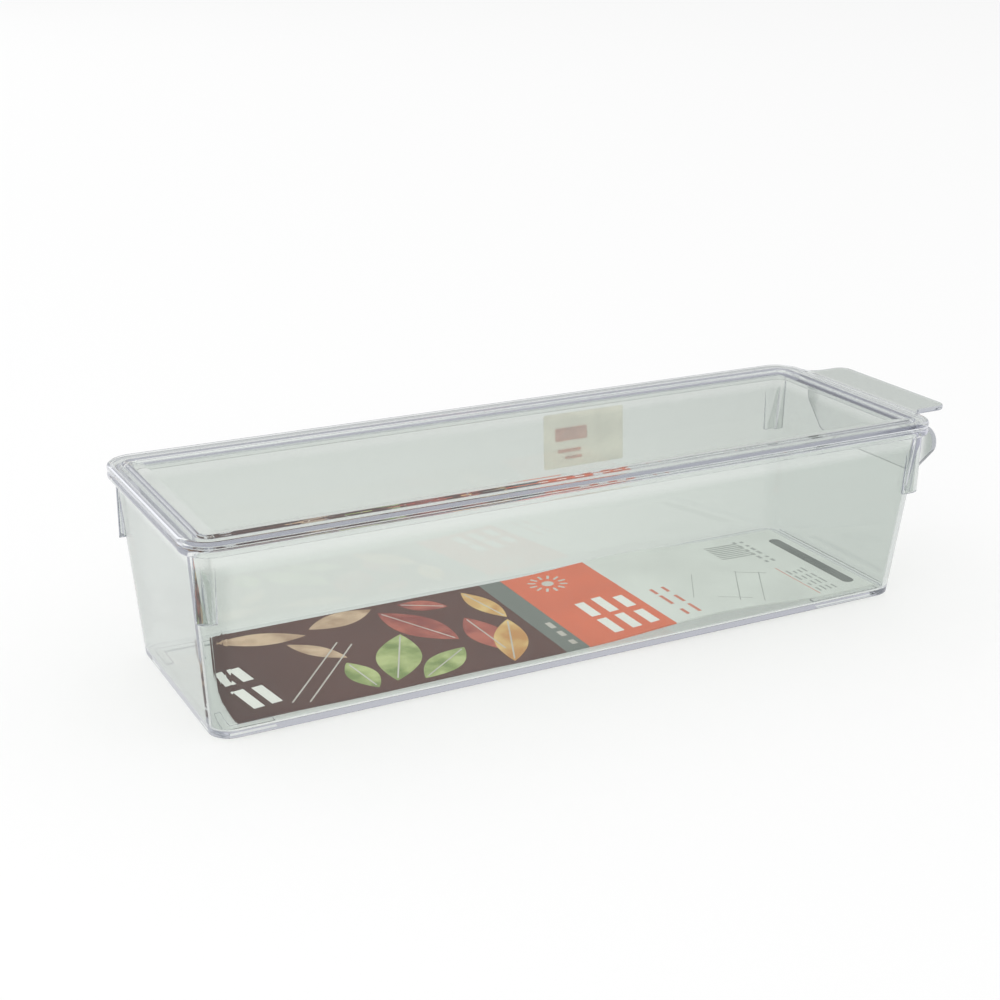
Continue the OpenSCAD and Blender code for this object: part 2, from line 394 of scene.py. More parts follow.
@dataclass(frozen=True)
class CrystalPlastic:
    """Crystal polystyrene, moulded in a polished tool.

    It bends light a good deal more than acrylic does, it is a faint grey-green seen through a wall,
    and the violet toner that keeps it from looking yellow shows where light runs lengthways through
    it, along every thick edge.

    Attributes:
        name: Name of the material.
        wall_tint: sRGB hex colour that each face of a wall gives to what is seen through it.
        end_wall_shade_tint: The same for the two end walls, made darker as painted shade.
        lid_tint: The same for the lid's panel.
        rim_tint: The same for the rolled rim and the lid's border.
        tab_shade_tint: The same for the tab, past the rim's end, made darker as painted shade.
        grip_shade_tint: The same for the pull's two free ends, made darker as painted shade.
        pull_tint: The same for the rest of the pull.
        light_tint: sRGB hex colour that one face gives to light on its way to what is inside.
        exit_tint: sRGB hex colour of light that leaves a thick edge after two or more turns inside it.
        edge_tint: Linear colour that light keeps on its way along the plastic.
        edge_density: How fast it takes that colour, per metre.
        roughness: Roughness of the moulded faces.
        ior: Index of refraction of polystyrene.
        flow_mark: Length of the melt's flow marks in millimetres.
        flow_depth: Height of the marks in metres.
        end_zone: Distance from the bin's middle where the end walls start, and are all there.
        pull_shade_zone: Distance towards the pull over which the walls get darker, as painted shade.
        pull_shade_share: How near this painted shade comes to end_wall_shade_tint there.
        border: Half the length and width inside the rim and the lid's border.
        border_soft: Half the width of the change of tint there.
        rim_zone: Height where the rim starts, and is all there.
        lid_z: Height over which the plastic is the lid's.
        tab_z: Height over which what stands free is the tab.
        free_zone: Distance along X where the tab and the pull leave the rim.
        grip_zone: Distance across where the pull's free ends start, and are all there.
    """

    name: str = "crystal_polystyrene"
    wall_tint: str = "eaeeea"
    end_wall_shade_tint: str = "dbe0dc"
    lid_tint: str = "eef2ee"
    rim_tint: str = "f5f7f5"
    tab_shade_tint: str = "cfd5d0"
    grip_shade_tint: str = "b6bcb8"
    pull_tint: str = "fdfdfd"
    light_tint: str = "f6f7f5"
    exit_tint: str = "d6d7dd"
    edge_tint: Colour = (0.86, 0.85, 0.935, 1.0)
    edge_density: float = 22.0
    roughness: float = 0.015
    ior: float = 1.55
    flow_mark: float = 45.45
    flow_depth: float = 0.0006
    end_zone: Point = (0.136, 0.142)
    pull_shade_zone: Point = (-0.02, 0.14)
    pull_shade_share: float = 0.6
    border: Point = (0.1405, 0.0395)
    border_soft: float = 0.001
    rim_zone: Point = (0.063, 0.066)
    lid_z: float = 0.0705
    tab_z: float = 0.0726
    free_zone: Point = (0.1425, 0.1465)
    grip_zone: Point = (0.030, 0.037)

    def tint(self, tree: bpy.types.NodeTree, place: bpy.types.NodeSocket) -> bpy.types.Node:
        """Works out how dark each part of the moulding makes what is seen through it, with painted shade on
        the end walls, towards the pull, on the tab and on the pull's free ends.

        Args:
            tree: Tree that gets the nodes.
            place: Object coordinates.

        Returns:
            The node that gives the colour.
        """
        kind, mixed = "ShaderNodeMath", "ShaderNodeMix"
        axes = add_node(tree, "ShaderNodeSeparateXYZ", inputs={"Vector": place}).outputs
        middle = add_node(tree, kind, {"operation": "SUBTRACT"}, {0: axes["X"], 1: BIN_MIDDLE * MM})
        along = add_node(tree, kind, {"operation": "ABSOLUTE"}, {0: middle})
        across = add_node(tree, kind, {"operation": "ABSOLUTE"}, {0: axes["Y"]})
        out_x, out_y = (
            add_node(tree, kind, {"operation": "SUBTRACT"}, {0: distance, 1: inner})
            for distance, inner in zip((along, across), self.border)
        )
        beyond = add_node(tree, kind, {"operation": "MAXIMUM"}, {0: out_x, 1: out_y})
        over_rim, over_lid = (
            add_node(tree, kind, {"operation": "GREATER_THAN"}, {0: axes["Z"], 1: height})
            for height in (self.lid_z, self.tab_z)
        )
        # how far in a point is to: the end walls, the painted shade's run towards the pull, the lid's border,
        # the rim, what stands past the rim, and the pull's free ends
        at_end, run, at_border, rim_level, past_rim, free_end = (
            add_node(
                tree,
                "ShaderNodeMapRange",
                settings,
                {"Value": value, "From Min": zone[0], "From Max": zone[1], "To Max": most},
            )
            for value, zone, settings, most in (
                (along, self.end_zone, SMOOTH_STEP, 1.0),
                (middle, self.pull_shade_zone, None, self.pull_shade_share),
                (beyond, (-self.border_soft, self.border_soft), None, 1.0),
                (axes["Z"], self.rim_zone, None, 1.0),
                (axes["X"], self.free_zone, SMOOTH_STEP, 1.0),
                (across, self.grip_zone, SMOOTH_STEP, 1.0),
            )
        )
        # painted shade: the end walls, and the walls towards the pull, are darkened here
        painted_shade = add_node(tree, kind, {"operation": "MAXIMUM"}, {0: at_end, 1: run})
        walls, grip = (
            add_node(tree, "ShaderNodeValToRGB", {"stops": [(0.0, pale), (1.0, dark)]}, {"Fac": share})
            for share, pale, dark in (
                (painted_shade, linear(self.wall_tint), linear(self.end_wall_shade_tint)),
                (free_end, linear(self.pull_tint), linear(self.grip_shade_tint)),
            )
        )
        # many faces lie behind one another in the rim and the lid's border, and each tints once more
        in_rim = add_node(tree, kind, {"operation": "MULTIPLY"}, {0: at_border, 1: rim_level})
        # the tab and the grip's ends stand free, one layer deep, and are darkened as painted shade to read as
        # dark as two walls do
        free = add_node(tree, mixed, COLOURS, {"Factor": over_lid, 6: grip, 7: linear(self.tab_shade_tint)})
        seen = walls
        for share, colour in (
            (over_rim, linear(self.lid_tint)),
            (in_rim, linear(self.rim_tint)),
            (past_rim, free),
        ):
            seen = add_node(tree, mixed, COLOURS, {"Factor": share, 6: seen, 7: colour})
        return seen

    def material(self) -> bpy.types.Material:
        """Builds the node material.

        Returns:
            The material.
        """
        made, tree = new_material(self.name)
        place = add_node(tree, "ShaderNodeTexCoord").outputs["Object"]
        # flow marks are far too shallow to see face on, but they bend a reflection a little
        marks = {"Vector": place, "Scale": marks_of(self.flow_mark), "Detail": 2.0, "Roughness": 0.4}
        flow = add_node(tree, "ShaderNodeTexNoise", inputs=marks)
        height = {"Strength": 0.05, "Distance": self.flow_depth, "Height": flow}
        bump = add_node(tree, "ShaderNodeBump", inputs=height)
        glass = add_node(
            tree,
            "ShaderNodeBsdfPrincipled",
            inputs={
                "Base Color": self.tint(tree, place),
                "Roughness": self.roughness,
                "IOR": self.ior,
                "Transmission Weight": 1.0,
                "Normal": bump,
            },
        )
        rays = add_node(tree, "ShaderNodeLightPath").outputs
        # light that has turned inside a thick edge more than once leaves it there, faintly violet
        turns = add_node(
            tree, "ShaderNodeMath", {"operation": "GREATER_THAN"}, {0: rays["Glossy Depth"], 1: 1.5}
        )
        inside = add_node(tree, "ShaderNodeNewGeometry").outputs["Backfacing"]
        leaves = add_node(tree, "ShaderNodeMath", {"operation": "MULTIPLY"}, {0: turns, 1: inside})
        # lamps and what they light inside the bin reach each other straight through the thin walls
        leaving, passed = (
            add_node(tree, "ShaderNodeBsdfTransparent", inputs={"Color": linear(colour)})
            for colour in (self.exit_tint, self.light_tint)
        )
        shader = glass
        for share, other in (
            (leaves, leaving),
            (rays["Is Diffuse Ray"], passed),
            (rays["Is Shadow Ray"], passed),
        ):
            shader = add_node(tree, "ShaderNodeMixShader", inputs={0: share, 1: shader, 2: other})
        toner = add_node(
            tree, "ShaderNodeVolumeAbsorption", inputs={"Color": self.edge_tint, "Density": self.edge_density}
        )
        add_node(tree, "ShaderNodeOutputMaterial", inputs={"Surface": shader, "Volume": toner})
        return made


@dataclass(frozen=True)
class CardStock:
    """Coated card, offset printed in four fields along its length and varnished.

    Attributes:
        name: Name of the material.
        fields: Position along X in the bin's coordinates where each field starts, and its sRGB colour.
        roughness: Roughness of the varnish.
        reach: Least and greatest X that the fields are laid out over.
        shaded: Where along X the dark field's darkening starts and ends.
        shade: How bright it is at its start.
        patch: Size in millimetres of the patches of thicker and thinner ink.
        patch_levels: Brightness of the thickest and the thinnest ink.
        fibre: Size in millimetres that paper fibre is drawn in.
    """

    name: str = "varnished_card_stock"
    fields: tuple[tuple[float, str], ...] = (
        (-140.0, "5a3026"), (-7.5, "787f7a"), (2.5, "e8734f"), (41.0, "e5e9e6"),
    )
    roughness: float = 0.28
    reach: Point = (-0.16, 0.16)
    shaded: Point = (-0.146, -0.090)
    shade: float = 0.66
    patch: float = 26.3
    patch_levels: Point = (0.93, 1.05)
    fibre: float = 0.8

    def material(self) -> bpy.types.Material:
        """Builds the node material.

        Returns:
            The material.
        """
        made, tree = new_material(self.name)
        place = add_node(tree, "ShaderNodeTexCoord").outputs["Object"]
        along = add_node(tree, "ShaderNodeSeparateXYZ", inputs={"Vector": place}).outputs["X"]
        low, high = self.reach
        share = add_node(
            tree, "ShaderNodeMapRange", inputs={"Value": along, "From Min": low, "From Max": high}
        )
        stops = [(((BIN_MIDDLE + x) * MM - low) / (high - low), linear(c)) for x, c in self.fields]
        fields = add_node(tree, "ShaderNodeValToRGB", {"stops": stops}, {"Fac": share})
        fields.color_ramp.interpolation = "CONSTANT"
        # the dark field gets darker towards the card's back end
        dark = add_node(
            tree,
            "ShaderNodeMapRange",
            SMOOTH_STEP,
            {"Value": along, "From Min": self.shaded[0], "From Max": self.shaded[1], "To Min": self.shade},
        )
        # printing ink lies a little unevenly over centimetres
        pattern = {"Vector": place, "Scale": marks_of(self.patch), "Detail": 3.0}
        uneven = add_node(tree, "ShaderNodeTexNoise", inputs=pattern)
        thick, thin = self.patch_levels
        levels = {"Value": uneven, "From Min": 0.3, "From Max": 0.7, "To Min": thick, "To Max": thin}
        mottle = add_node(tree, "ShaderNodeMapRange", inputs=levels)
        level = add_node(tree, "ShaderNodeMath", {"operation": "MULTIPLY"}, {0: dark, 1: mottle})
        tinted = add_node(tree, "ShaderNodeVectorMath", {"operation": "SCALE"}, {0: fields, "Scale": level})
        # paper fibre under the varnish is 0.3 mm thick, and is drawn coarser so that it shows
        pattern = {"Vector": place, "Scale": marks_of(self.fibre), "Detail": 2.0}
        fibre = add_node(tree, "ShaderNodeTexNoise", inputs=pattern)
        bump = add_node(
            tree, "ShaderNodeBump", inputs={"Strength": 0.12, "Distance": FIBRE_DEPTH, "Height": fibre}
        )
        shader = add_node(
            tree,
            "ShaderNodeBsdfPrincipled",
            inputs={
                "Base Color": tinted,
                "Roughness": self.roughness,
                "Specular IOR Level": VARNISH_SHINE,
                "Normal": bump,
            },
        )
        add_node(tree, "ShaderNodeOutputMaterial", inputs={"Surface": shader})
        return made


@dataclass(frozen=True)
class CardBack:
    """The card's unprinted side and its cut edges: bare greyish board with flecks of fibre.

    Attributes:
        name: Name of the material.
        colour: sRGB colour of the board.
        fleck: sRGB colour of its darker fibres.
        through: Share of light that it scatters on to its other side.
        size: Length in millimetres of the flecks of recycled fibre.
    """

    name: str = "bare_card_board"
    colour: str = "dedcd4"
    fleck: str = "c4c0b6"
    through: float = 0.35
    size: float = 1.11

    def material(self) -> bpy.types.Material:
        """Builds the node material.

        Returns:
            The material.
        """
        made, tree = new_material(self.name)
        place = add_node(tree, "ShaderNodeTexCoord").outputs["Object"]
        pattern = {"Vector": place, "Scale": marks_of(self.size), "Detail": 3.0}
        fibre = add_node(tree, "ShaderNodeTexNoise", inputs=pattern)
        stops = [(0.38, linear(self.fleck)), (0.55, linear(self.colour))]
        colour = add_node(tree, "ShaderNodeValToRGB", {"stops": stops}, {"Fac": fibre})
        sheet = add_node(tree, "ShaderNodeBsdfPrincipled", inputs={"Base Color": colour, "Roughness": 0.8})
        # some of the light on the printed side comes through thin card
        lit = add_node(tree, "ShaderNodeBsdfTranslucent", inputs={"Color": colour})
        shader = add_node(tree, "ShaderNodeMixShader", inputs={0: self.through, 1: sheet, 2: lit})
        add_node(tree, "ShaderNodeOutputMaterial", inputs={"Surface": shader})
        return made


@dataclass(frozen=True)
class Ink:
    """Offset ink that fades from one colour to another across a printed motif.

    Attributes:
        name: Name of the material.
        light: sRGB colour where the ink is light.
        dark: sRGB colour where it is full.
        grain: Size in millimetres of the soft patches between them.
    """

    name: str
    light: str
    dark: str
    grain: float = 9.0

    def material(self) -> bpy.types.Material:
        """Builds the node material.

        Returns:
            The material.
        """
        made, tree = new_material(self.name)
        place = add_node(tree, "ShaderNodeTexCoord").outputs["Object"]
        pattern = {"Vector": place, "Scale": marks_of(self.grain), "Detail": 2.5}
        patches = add_node(tree, "ShaderNodeTexNoise", inputs=pattern)
        stops = [(0.34, linear(self.dark)), (0.64, linear(self.light))]
        colour = add_node(tree, "ShaderNodeValToRGB", {"stops": stops}, {"Fac": patches})
        shader = add_node(
            tree,
            "ShaderNodeBsdfPrincipled",
            inputs={"Base Color": colour, "Roughness": 0.3, "Specular IOR Level": VARNISH_SHINE},
        )
        add_node(tree, "ShaderNodeOutputMaterial", inputs={"Surface": shader})
        return made


@dataclass(frozen=True)
class StickerPaper:
    """Thin uncoated sticker paper, matt and warm, or the print on it.

    Attributes:
        name: Name of the material.
        colour: sRGB colour of the sheet.
        shine: Share of light that it scatters on to its other side.
        glue_level: How bright the sheet is where glue darkens it.
        passed_tint: sRGB colour that each face gives to a lamp's light behind it.
        fibre: Size in millimetres that paper fibre is drawn in.
        glue_patch: Size in millimetres of the patches of glue.
    """

    name: str = "sticker_paper"
    colour: str = "fffcf4"
    shine: float = 0.75
    glue_level: float = 0.90
    passed_tint: str = "f0eee6"
    fibre: float = 0.625
    glue_patch: float = 8.33

    def material(self) -> bpy.types.Material:
        """Builds the node material.

        Returns:
            The material.
        """
        made, tree = new_material(self.name)
        place = add_node(tree, "ShaderNodeTexCoord").outputs["Object"]
        # fibre 0.2 mm thick is drawn coarser so that it shows, and glue lies in soft patches and darkens
        # the sheet over it
        fibre, glue = (
            add_node(
                tree,
                "ShaderNodeTexNoise",
                inputs={"Vector": place, "Scale": marks_of(size), "Detail": detail},
            )
            for size, detail in ((self.fibre, 3.0), (self.glue_patch, 1.0))
        )
        stops = [(0.3, linear(self.colour, self.glue_level)), (0.7, linear(self.colour))]
        patchy = add_node(tree, "ShaderNodeValToRGB", {"stops": stops}, {"Fac": glue})
        bump = add_node(
            tree, "ShaderNodeBump", inputs={"Strength": 0.3, "Distance": FIBRE_DEPTH, "Height": fibre}
        )
        sheet = add_node(
            tree, "ShaderNodeBsdfPrincipled", inputs={"Base Color": patchy, "Roughness": 0.75, "Normal": bump}
        )
        # daylight shines through thin paper, and the sheet has two faces for it to pass
        lit = add_node(tree, "ShaderNodeBsdfTranslucent", inputs={"Color": patchy})
        rays = add_node(tree, "ShaderNodeLightPath").outputs
        passed = add_node(tree, "ShaderNodeBsdfTransparent", inputs={"Color": linear(self.passed_tint)})
        shader = sheet
        for share, other in ((self.shine, lit), (rays["Is Shadow Ray"], passed)):
            shader = add_node(tree, "ShaderNodeMixShader", inputs={0: share, 1: shader, 2: other})
        add_node(tree, "ShaderNodeOutputMaterial", inputs={"Surface": shader})
        return made


# ---------------------------------------------------------------------------- the organizer


@dataclass(frozen=True)
class Shape:
    """Sizes that more than one piece needs.

    Attributes:
        rim_x: Half the rim's length.
        rim_y: Half the rim's width.
        rim_r: The rim's corner radius.
        rim_top: Height of the rim's top face.
        rim_h: Height of the rim's rolled edge.
        rim_out: How far the rim stands out from the wall.
        wall: Thickness of the walls.
        draft_x: How far each end wall leans in down to the base.
        draft_y: How far each long wall leans in down to the base.
        bevel: Bevel around the base.
        foot_h: Height of the feet.
        floor_t: Thickness of the floor.
    """

    rim_x: float = 153.0
    rim_y: float = 50.0
    rim_r: float = 11.0
    rim_top: float = 72.2
    rim_h: float = 2.7
    rim_out: float = 3.0
    wall: float = 1.8
    draft_x: float = 5.4
    draft_y: float = 4.8
    bevel: float = 1.2
    foot_h: float = 1.0
    floor_t: float = 2.2

    @property
    def wall_x(self) -> float:
        """Half the length of the walls' outer faces under the rim."""
        return self.rim_x - self.rim_out

    @property
    def wall_y(self) -> float:
        """Half the width of the walls' outer faces under the rim."""
        return self.rim_y - self.rim_out

    @property
    def wall_r(self) -> float:
        """Corner radius of the walls' outer faces."""
        return self.rim_r - self.rim_out

    @property
    def wall_top(self) -> float:
        """Height where the walls' draft ends, under the rim."""
        return self.rim_top - self.rim_h

    @property
    def draft_run(self) -> float:
        """Height over which the walls lean in, down to the base's bevel."""
        return self.wall_top - self.foot_h - self.bevel

    @property
    def floor_z(self) -> float:
        """Height of the floor's upper face."""
        return self.foot_h + self.floor_t

    def wall_ring(self, z: float, out: float = 0.0) -> Ring:
        """Turn of the walls at a height.

        Args:
            z: The height.
            out: How far outside the walls' outer faces.

        Returns:
            The ring.
        """
        share = max(0.0, (self.wall_top - z) / self.draft_run)
        half_x, half_y = self.wall_x - self.draft_x * share, self.wall_y - self.draft_y * share
        return rounded_ring(half_x + out, half_y + out, self.wall_r + out, z)


@dataclass
class Bin:
    """The moulded bin: drafted tub, rolled rim, corner stops, feet and pull in one closed solid.

    Attributes:
        shape: Shared sizes.
        finish: Its plastic.
        rim_round: Radius on the rim's outer edges.
        under_rim: Radius of the soft corner under the rim.
        floor_round: Radius of the soft corner round the floor.
        mouth_round: Radius on the rim's inner edge.
        stop_z: Height of the stops' lower ends.
        stop_in: How far the stops' faces stand in from the wall under the rim.
        stop_r: Radius of the stops' corners.
        stop_t: Thickness of the stops' skin.
        stop_ly: Length of the stops' legs along Y.
        stop_front: Length along X of the stops' legs at the pull end.
        stop_back: Length along X of the stops' legs at the back end.
        stop_round: Radius on the stops' lower edges.
        foot_corner: Half the length and width over the feet.
        foot_w: Width of the feet's ridges.
        foot_leg: Length of the feet along Y.
        foot_front: Length along X of the feet at the pull end.
        foot_back: Length along X of the feet at the back end.
        foot_in: How far the feet reach up into the floor.
        foot_round: Radius on the feet's lower edges.
        neck: Half the width of the pull's neck.
        neck_fillet: Radius where the neck runs into the rim.
        grip_out: How far the grip hangs out past the rim.
        grip_low: Drop to the grip's lower edge.
        grip_drop: Drop to the grip's widest part.
        grip_half: Half the grip's greatest width.
        grip_flat: Half the width of its flat lower edge.
        grip_r: Radius of its corners.
        pull_t: Thickness of the pull.
        pull_edge: Radius on the pull's long edges.
        tip_round: Radius on the pull's lower edge.
        bend: Outer radius where the pull turns down.
    """

    shape: Shape
    finish: bpy.types.Material
    rim_round: float = 1.0
    under_rim: float = 0.7
    floor_round: float = 1.6
    mouth_round: float = 0.45
    stop_z: float = 45.5
    stop_in: float = 0.3
    stop_r: float = 5.0
    stop_t: float = 1.3
    stop_ly: float = 3.5
    stop_front: float = 9.5
    stop_back: float = 6.5
    stop_round: float = 0.3
    foot_corner: Point = (139.5, 36.5)
    foot_w: float = 3.0
    foot_leg: float = 14.0
    foot_front: float = 32.0
    foot_back: float = 18.0
    foot_in: float = 1.1
    foot_round: float = 0.35
    neck: float = 33.5
    neck_fillet: float = 5.0
    grip_out: float = 8.5
    grip_low: float = 25.0
    grip_drop: float = 10.4
    grip_half: float = 40.0
    grip_flat: float = 26.5
    grip_r: float = 6.0
    pull_t: float = 2.2
    pull_edge: float = 0.9
    tip_round: float = 0.8
    bend: float = 6.5

    def outside(self) -> bpy.types.Object:
        """Makes what the bin's outer faces hold, from the base's bevel to the rim's top.

        Returns:
            The solid.
        """
        s = self.shape
        rings: list[Ring] = []
        for sine, cosine in quarter_turn(5):
            d = s.bevel * (1 - sine)
            x, y, r = s.wall_x - s.draft_x - d, s.wall_y - s.draft_y - d, s.wall_r - 0.5 * d
            rings.append(rounded_ring(x, y, r, s.foot_h + s.bevel * (1 - cosine)))
        soft, edge = self.under_rim, self.rim_round
        reach = s.rim_out - edge
        rings += [s.wall_ring(s.wall_top - soft * (1 - sn), soft * (1 - cs)) for sn, cs in quarter_turn(4)]
        rings += [s.wall_ring(s.wall_top + edge * (1 - cs), reach + edge * sn) for sn, cs in quarter_turn(5)]
        rings += [s.wall_ring(s.rim_top - edge * (1 - sn), reach + edge * cs) for sn, cs in quarter_turn(5)]
        return loft("bin_shell", rings)

    def hollow(self) -> bpy.types.Object:
        """Makes what is cut out of the bin, with a soft corner round its floor.

        Returns:
            The solid.
        """
        s = self.shape
        rings: list[Ring] = []
        soft, edge = self.floor_round, self.mouth_round
        share = (s.wall_top - s.floor_z - soft) / s.draft_run
        for sine, cosine in quarter_turn(5):
            d = soft * (1 - sine) + s.wall
            x, y = s.wall_x - s.draft_x * share - d, s.wall_y - s.draft_y * share - d
            rings.append(rounded_ring(x, y, s.wall_r - s.wall, s.floor_z + soft * (1 - cosine)))
        rings.append(s.wall_ring(s.wall_top, -s.wall))
        for sine, cosine in quarter_turn(3):
            rings.append(s.wall_ring(s.rim_top - edge * (1 - sine), edge * (1 - cosine) - s.wall))
        rings.append(s.wall_ring(s.rim_top + 3, edge - s.wall))  # well past the rim's top
        return loft("bin_hollow", rings)

    def stop(self, length: float) -> list[Point]:
        """Plan of the stop at the +X +Y corner.

        Args:
            length: Length of its leg along X.

        Returns:
            Its outline, counterclockwise.
        """
        s = self.shape
        x, y = s.wall_x - self.stop_in, s.wall_y - self.stop_in
        centre = (x - self.stop_r, y - self.stop_r)
        inner_r = self.stop_r - self.stop_t
        end = math.degrees(math.asin((self.stop_r - self.stop_ly) / self.stop_r))
        inner_end = math.degrees(math.asin((self.stop_r - self.stop_ly + self.stop_t) / inner_r))
        deep_x, deep_y = s.wall_x - s.draft_x, s.wall_y - s.draft_y
        return [
            *arc(centre, self.stop_r, end, 90, 10),
            (x - length, y),
            (x - length, deep_y),
            (x - length + self.stop_t, deep_y),
            (x - length + self.stop_t, y - self.stop_t),
            *arc(centre, inner_r, 90, inner_end, 6),
            (deep_x, y - self.stop_ly + self.stop_t),
            (deep_x, y - self.stop_ly),
        ]

    def foot(self, length: float) -> list[Point]:
        """Plan of the L-shaped foot at the +X +Y corner.

        Args:
            length: Length of its leg along X.

        Returns:
            Its outline, counterclockwise.
        """
        (x, y), width, leg = self.foot_corner, self.foot_w, self.foot_leg
        corner = (x - width, y - width)
        return [(x, y), (x - length, y), (x - length, corner[1]), corner, (corner[0], y - leg), (x, y - leg)]

    def at_corners(
        self, name: str, front: list[Point], back: list[Point], low: float, high: float, edge: float
    ) -> list[bpy.types.Object]:
        """The same upright plate at all four corners.

        Args:
            name: Name of the solids.
            front: Plan of the two at the pull end.
            back: Plan of the two at the back end, drawn at the pull end.
            low: Height of their lower faces.
            high: Height of their upper faces.
            edge: Radius on their lower edges.

        Returns:
            The four solids.
        """
        return [
            loft(name, plate_rings(mirrored(plan, flip_x, flip_y), low, high, edge, 0))
            for flip_x, plan in ((False, front), (True, back))
            for flip_y in (False, True)
        ]

    def neck_width(self, x: float) -> float:
        """Half the neck's width, with its fillets at the rim.

        Args:
            x: Distance along X.

        Returns:
            The half width there.
        """
        start = self.shape.rim_x - self.rim_round
        reach = start + self.neck_fillet - x
        if reach <= 0:
            return self.neck
        reach = min(reach, self.neck_fillet)
        return self.neck + self.neck_fillet - math.sqrt(self.neck_fillet**2 - reach**2)

    def pull_stations(self) -> list[tuple[Vector, Vector, float, float]]:
        """Works out the pull's run from rim to tip.

        Returns:
            Centre, outward normal, half width and half thickness at each place along it.
        """
        s = self.shape
        half = self.pull_t / 2
        top = s.rim_top - 0.01  # just under the rim's face, so that the two don't coincide
        bend_x = s.rim_x + self.grip_out - self.bend
        bend_z = top - self.bend
        middle = self.bend - half
        made: list[tuple[Vector, Vector, float, float]] = []
        up, out = Vector((0, 0, 1)), Vector((1, 0, 0))

        def on_bend(turn: float, width: float) -> None:
            """Adds a station on the bend at this angle above the horizontal."""
            normal = Vector((math.cos(turn), 0, math.sin(turn)))
            made.append((Vector((bend_x, 0, bend_z)) + normal * middle, normal, width, half))

        for x in (s.wall_x - 0.8, s.rim_x - 1.0, s.rim_x - 0.6, s.rim_x, s.rim_x + 0.8, bend_x - 0.3):
            made.append((Vector((x, 0, top - half)), up, self.neck_width(x), half))
        low = s.rim_top - self.grip_low
        lobe = (self.grip_half - self.grip_r, s.rim_top - self.grip_drop)
        toe = (self.grip_flat, low + self.grip_r)
        lobe_turn = math.asin((lobe[1] + self.grip_r - bend_z) / self.bend)
        steps = 9
        for k in range(steps + 1):
            turn = math.pi / 2 + (lobe_turn - math.pi / 2) * k / steps
            on_bend(turn, self.neck_width(bend_x + self.bend * math.cos(turn)))
        slant = math.degrees(math.atan2(toe[0] - lobe[0], lobe[1] - toe[1]))
        edge = self.tip_round
        for width, z in arc(lobe, self.grip_r, 88, slant, 22) + arc(toe, self.grip_r, slant, -90, 10):
            if z > bend_z:
                on_bend(math.asin((z - bend_z) / self.bend), width)
                continue
            rest = min(edge, max(0.0, z - low))
            thick = half - edge + math.sqrt(edge**2 - (edge - rest) ** 2)
            made.append((Vector((bend_x + middle, 0, z)), out, width, thick))
        return made

    def pull(self) -> bpy.types.Object:
        """Makes the drop-down pull, starting inside the rim.

        Returns:
            The solid.
        """
        rings: list[Ring] = []
        for centre, normal, width, thick in self.pull_stations():
            outline = rounded_box(width, thick, min(self.pull_edge, thick - 0.02), 4)
            rings.append([centre + Vector((BIN_MIDDLE, y, 0)) + normal * n for y, n in outline])
        return loft("pull", rings)

    def build(self) -> bpy.types.Object:
        """Joins the shell, stops, feet and pull, cuts the hollow and dresses the result.

        Returns:
            The bin, riding on its body and standing for the CAD node.
        """
        s = self.shape
        piece = self.outside()
        piece.name = "bin_moulding"
        plans = self.stop(self.stop_front), self.stop(self.stop_back)
        stops = self.at_corners("stop", *plans, self.stop_z, s.rim_top - self.rim_round, self.stop_round)
        fuse(piece, [*((tool, Fuse.JOIN) for tool in (*stops, self.pull())), (self.hollow(), Fuse.CUT)])
        plans = self.foot(self.foot_front), self.foot(self.foot_back)
        feet = self.at_corners("foot", *plans, 0, s.foot_h + self.foot_in, self.foot_round)
        fuse(piece, [(tool, Fuse.JOIN) for tool in feet])
        smooth_by_angle(piece)
        dress(piece, self.finish)
        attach(piece, "bin")
        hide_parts("bin")
        return piece


